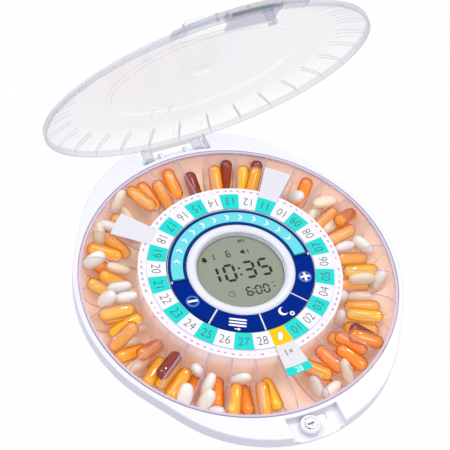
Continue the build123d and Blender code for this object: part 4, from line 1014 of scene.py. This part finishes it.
# cell, kind, place in the cell (out, sideways, up) and its three angles
PILLS = (
    (1, "O", 76.4, 2.7, 21.0, 0, -7, 2),
    (1, "A", 75.2, 0.0, 29.6, 0, -13, 20),
    (1, "W", 83.3, -4.9, 25.2, 97, 50, 9),
    (1, "W", 90.3, 1.1, 26.4, -84, 12, 98),
    (2, "A", 79.4, 3.6, 21.9, 0, -14, 6),
    (2, "O", 75.2, -3.0, 27.6, 0, 1, -6),
    (2, "C", 89.1, -5.3, 31.7, -51, 53, -12),
    (2, "O", 85.8, 4.1, 32.9, 0, 7, 5),
    (3, "A", 75.7, 0.2, 20.9, 0, -6, -4),
    (3, "O", 80.1, -3.6, 29.9, 0, -2, -6),
    (3, "R", 85.8, 4.5, 32.9, 0, 19, 6),
    (3, "O", 87.5, -1.8, 39.0, 0, 8, 17),
    (4, "A", 81.9, -3.6, 22.9, 0, -21, -4),
    (4, "Y", 81.8, 4.0, 27.8, 0, -8, 6),
    (4, "W", 67.4, -0.7, 23.1, -73, -79, 80),
    (5, "A", 80.4, -3.7, 22.2, 0, -17, -6),
    (5, "C", 79.1, 4.6, 20.4, -107, -11, 3),
    (5, "W", 67.6, 1.9, 22.8, -105, -67, -97),
    (6, "A", 75.6, -2.6, 20.8, 0, -6, -11),
    (6, "Y", 81.8, 3.5, 26.9, 0, 6, 3),
    (6, "C", 80.1, -4.8, 30.0, 76, -9, -6),
    (6, "W", 91.4, -4.6, 27.7, -133, 59, -153),
    (7, "Y", 76.3, 3.2, 21.0, 0, -7, 7),
    (7, "A", 79.2, -3.6, 26.7, 0, 15, -6),
    (7, "W", 77.5, 4.3, 30.4, -66, 15, 7),
    (7, "W", 90.2, 2.6, 28.9, 84, 19, -57),
    (8, "O", 81.8, 0.9, 22.3, -2, -23, 10),
    (8, "A", 79.7, -3.5, 30.1, 1, -14, -6),
    (8, "C", 79.5, 4.6, 31.1, -78, 7, 9),
    (8, "O", 87.6, 2.9, 37.4, -4, 25, 14),
    (9, "A", 83.7, -3.5, 23.4, 2, -31, -7),
    (9, "C", 75.6, 3.6, 24.3, -119, 50, -173),
    (9, "W", 85.6, 4.7, 23.4, -113, -42, 17),
    (9, "C", 89.6, 3.0, 32.3, -2, 4, -28),
    (10, "O", 89.3, 0.2, 28.5, -3, -54, 6),
    (10, "W", 81.2, 2.1, 31.4, 26, -48, -94),
    (10, "A", 73.9, 1.5, 25.1, 74, 63, -16),
    (11, "W", 85.1, -0.6, 21.5, -34, 7, 98),
    (12, "R", 89.7, -4.0, 28.6, 5, -56, -8),
    (12, "Y", 83.1, 3.4, 28.3, -5, -43, 8),
    (12, "A", 79.4, -3.2, 33.4, 4, -36, -7),
    (13, "R", 88.8, -3.9, 27.2, 6, -51, -9),
    (13, "A", 82.7, 3.2, 28.6, -4, -37, 7),
    (14, "R", 85.1, -0.8, 23.0, -6, -39, 10),
    (15, "A", 85.7, 2.7, 23.9, -8, -41, 13),
    (15, "O", 86.4, -3.7, 32.0, 4, -16, -6),
    (16, "W", 87.0, -0.8, 22.9, 4, -34, 6),
    (16, "O", 86.5, -3.7, 31.0, 4, -17, -6),
    (16, "A", 85.8, 4.0, 35.8, -3, 0, 5),
    (17, "A", 84.8, 3.2, 23.3, -5, -38, 9),
    (17, "C", 87.6, -4.5, 24.5, 84, -41, 0),
    (17, "C", 94.8, -3.4, 36.2, 91, 53, 92),
    (18, "A", 83.2, -0.6, 22.5, 2, -32, -5),
    (18, "W", 90.2, -4.8, 33.6, 46, 25, -15),
    (18, "C", 93.3, 3.4, 32.6, -110, 55, 115),
    (19, "O", 83.6, 2.2, 23.1, 1, -30, -2),
    (19, "C", 75.6, 3.1, 28.1, 26, -24, 14),
    (19, "A", 85.9, -4.0, 32.9, 2, -1, -6),
    (19, "W", 91.0, 4.3, 34.1, -33, 30, 33),
    (20, "Y", 83.9, -0.1, 23.6, 3, -30, -13),
    (20, "A", 77.2, -3.2, 29.1, 1, -32, -7),
    (20, "W", 74.7, 4.0, 32.0, -81, 5, 8),
    (21, "A", 76.4, 1.1, 21.0, 0, -7, 5),
    (21, "Y", 79.5, 3.7, 30.1, 0, -7, 6),
    (21, "W", 72.4, -3.3, 33.9, 47, 18, -11),
    (21, "W", 84.0, -4.1, 34.4, -25, 53, -15),
    (22, "W", 78.8, 3.1, 19.4, 5, -9, -12),
    (22, "C", 71.6, -3.1, 20.2, 80, 11, -26),
    (22, "Y", 77.1, -3.5, 27.6, 0, 27, -6),
    (22, "A", 82.6, 4.0, 29.8, 0, 41, 6),
    (23, "C", 72.2, 2.8, 18.9, -1, 4, 16),
    (23, "C", 83.6, 4.1, 23.5, 39, 3, -9),
    (23, "A", 83.7, -4.0, 25.5, 0, -18, -6),
    (23, "O", 74.6, 3.0, 29.6, 0, -24, 6),
    (24, "C", 78.8, -4.1, 19.9, -44, -9, -2),
    (24, "Y", 76.0, 3.3, 22.1, 0, 2, 6),
    (24, "A", 84.1, -2.1, 28.4, 0, -4, 10),
    (24, "R", 77.0, 3.5, 33.6, 0, -9, 6),
    (25, "O", 78.3, 3.4, 21.4, 0, -11, 6),
    (25, "A", 81.4, -3.8, 27.1, 0, 7, -6),
    (25, "W", 88.3, 3.4, 29.9, -7, 30, 10),
    (25, "W", 68.7, 2.6, 29.4, 138, -61, 18),
    (26, "O", 75.1, 2.6, 20.7, 0, -5, 10),
    (26, "W", 73.7, -3.8, 26.0, -64, -35, 166),
    (26, "W", 90.9, 4.7, 26.8, -174, 56, -154),
    (26, "W", 84.3, -2.8, 25.5, 177, -51, 144),
    (27, "O", 78.3, 3.4, 21.4, 0, -11, 6),
    (27, "A", 82.4, -3.9, 27.1, 0, 4, -6),
    (27, "W", 67.6, -0.1, 27.4, -69, -48, 79),
    (28, "Y", 75.9, 3.3, 20.9, 0, -7, 6),
    (28, "A", 81.2, -3.8, 26.2, 0, 8, -6),
)
for kind, (name, finish) in pill_finishes.items():
    lot = [laid(shapes[kind], cell, *rest) for cell, sort, *rest in PILLS if sort == kind]
    piece(name, *joined(lot), finish, "tray", smooth=True)


# ---------------------------------------------------------------- table, light and camera

PAPER_GLOW = 0.985        # the rest of the paper's white takes the shadow


def background(name, shade):
    """Pale paper that the camera, mirrors and glass see nearly white, with a faint shadow."""
    finish = Finish(name, shade, 0.9)
    path = finish.node("ShaderNodeLightPath", {}, {})
    seen = finish.signal(path, "Is Camera Ray").most(finish.signal(path, "Is Glossy Ray"))
    seen = seen.most(finish.signal(path, "Is Transmission Ray"))
    glow = finish.node("ShaderNodeEmission", {}, {"Color": (1, 1, 1, 1), "Strength": 1.0})
    values = {0: seen * PAPER_GLOW, 1: finish.shader.outputs[0], 2: glow.outputs[0]}
    both = finish.node("ShaderNodeMixShader", {}, values)
    finish.tree.links.new(both.outputs[0], finish.sink.inputs[0])
    return finish


mesh = bpy.data.meshes.new("table")
mesh.from_pydata([(-3, -3, 0), (3, -3, 0), (3, 3, 0), (-3, 3, 0)], [], [(0, 1, 2, 3)])
mesh.materials.append(background("table_paper", paint(214, 214, 222)).material)
table = bpy.data.objects.new("table", mesh)
bpy.context.scene.collection.objects.link(table)

world = bpy.data.worlds.new("studio")
bpy.context.scene.world = world
world.use_nodes = True
sky = world.node_tree
sky.nodes.clear()
path = sky.nodes.new("ShaderNodeLightPath")
soft = sky.nodes.new("ShaderNodeBackground")
soft.inputs["Color"].default_value = (0.93, 0.93, 1.0, 1.0)
soft.inputs["Strength"].default_value = 0.62
plain = sky.nodes.new("ShaderNodeBackground")
plain.inputs["Color"].default_value = (1.0, 1.0, 1.0, 1.0)
plain.inputs["Strength"].default_value = 1.0
seen = sky.nodes.new("ShaderNodeMath")
seen.operation = "MAXIMUM"
sky.links.new(path.outputs["Is Camera Ray"], seen.inputs[0])
sky.links.new(path.outputs["Is Transmission Ray"], seen.inputs[1])
choice = sky.nodes.new("ShaderNodeMixShader")
sky.links.new(seen.outputs[0], choice.inputs[0])
sky.links.new(soft.outputs[0], choice.inputs[1])
sky.links.new(plain.outputs[0], choice.inputs[2])
sky_out = sky.nodes.new("ShaderNodeOutputWorld")
sky.links.new(choice.outputs[0], sky_out.inputs[0])


LAMP_AIM = (0.0, 0.0, 0.04)


def lamp(name, place, size, watts, tint=(1.0, 1.0, 1.0)):
    """A square area lamp at a place (metres), pointing at the middle of the tray."""
    light = bpy.data.lights.new(name, "AREA")
    light.size = size
    light.energy = watts
    light.color = tint
    holder = bpy.data.objects.new(name, light)
    holder.location = place
    holder.rotation_euler = (Vector(LAMP_AIM) - Vector(place)).to_track_quat("-Z", "Y").to_euler()
    bpy.context.scene.collection.objects.link(holder)


lamp("big_soft_light", (-0.3, 0.3, 1.5), 0.8, 4.9)
lamp("front_light", (0.12, -0.6, 0.95), 0.5, 2.2)
lamp("right_light", (0.55, 0.25, 1.05), 0.16, 2.2, (1.0, 0.99, 0.97))
lamp("left_light", (-0.6, 0.35, 0.9), 0.16, 1.4)

camera_data = bpy.data.cameras.new("camera")
camera_data.lens = 112.0
camera_data.sensor_width = 36.0
camera_data.clip_start = 0.05
camera_data.clip_end = 20.0
camera = bpy.data.objects.new("camera", camera_data)
bpy.context.scene.collection.objects.link(camera)


def camera_turn(azimuth, elevation, roll):
    """Columns right, up and back of a camera that looks from those angles, then rolls."""
    around, above, lean = (math.radians(value) for value in (azimuth, elevation, roll))
    level = math.cos(above)
    back = Vector((math.sin(around) * level, -math.cos(around) * level, math.sin(above)))
    right = Vector((0, 0, 1)).cross(back).normalized()
    up = back.cross(right)
    rolled_right = right * math.cos(lean) + up * math.sin(lean)
    rolled_up = up * math.cos(lean) - right * math.sin(lean)
    return Matrix((rolled_right, rolled_up, back)).transposed()


camera_place = Vector((-283.145, -420.274, 750.405)) * MM
camera.matrix_world = Matrix.Translation(camera_place) @ camera_turn(-32.29, 52.61, 10.62).to_4x4()
bpy.context.scene.camera = camera
bpy.context.scene.view_settings.view_transform = "Standard"
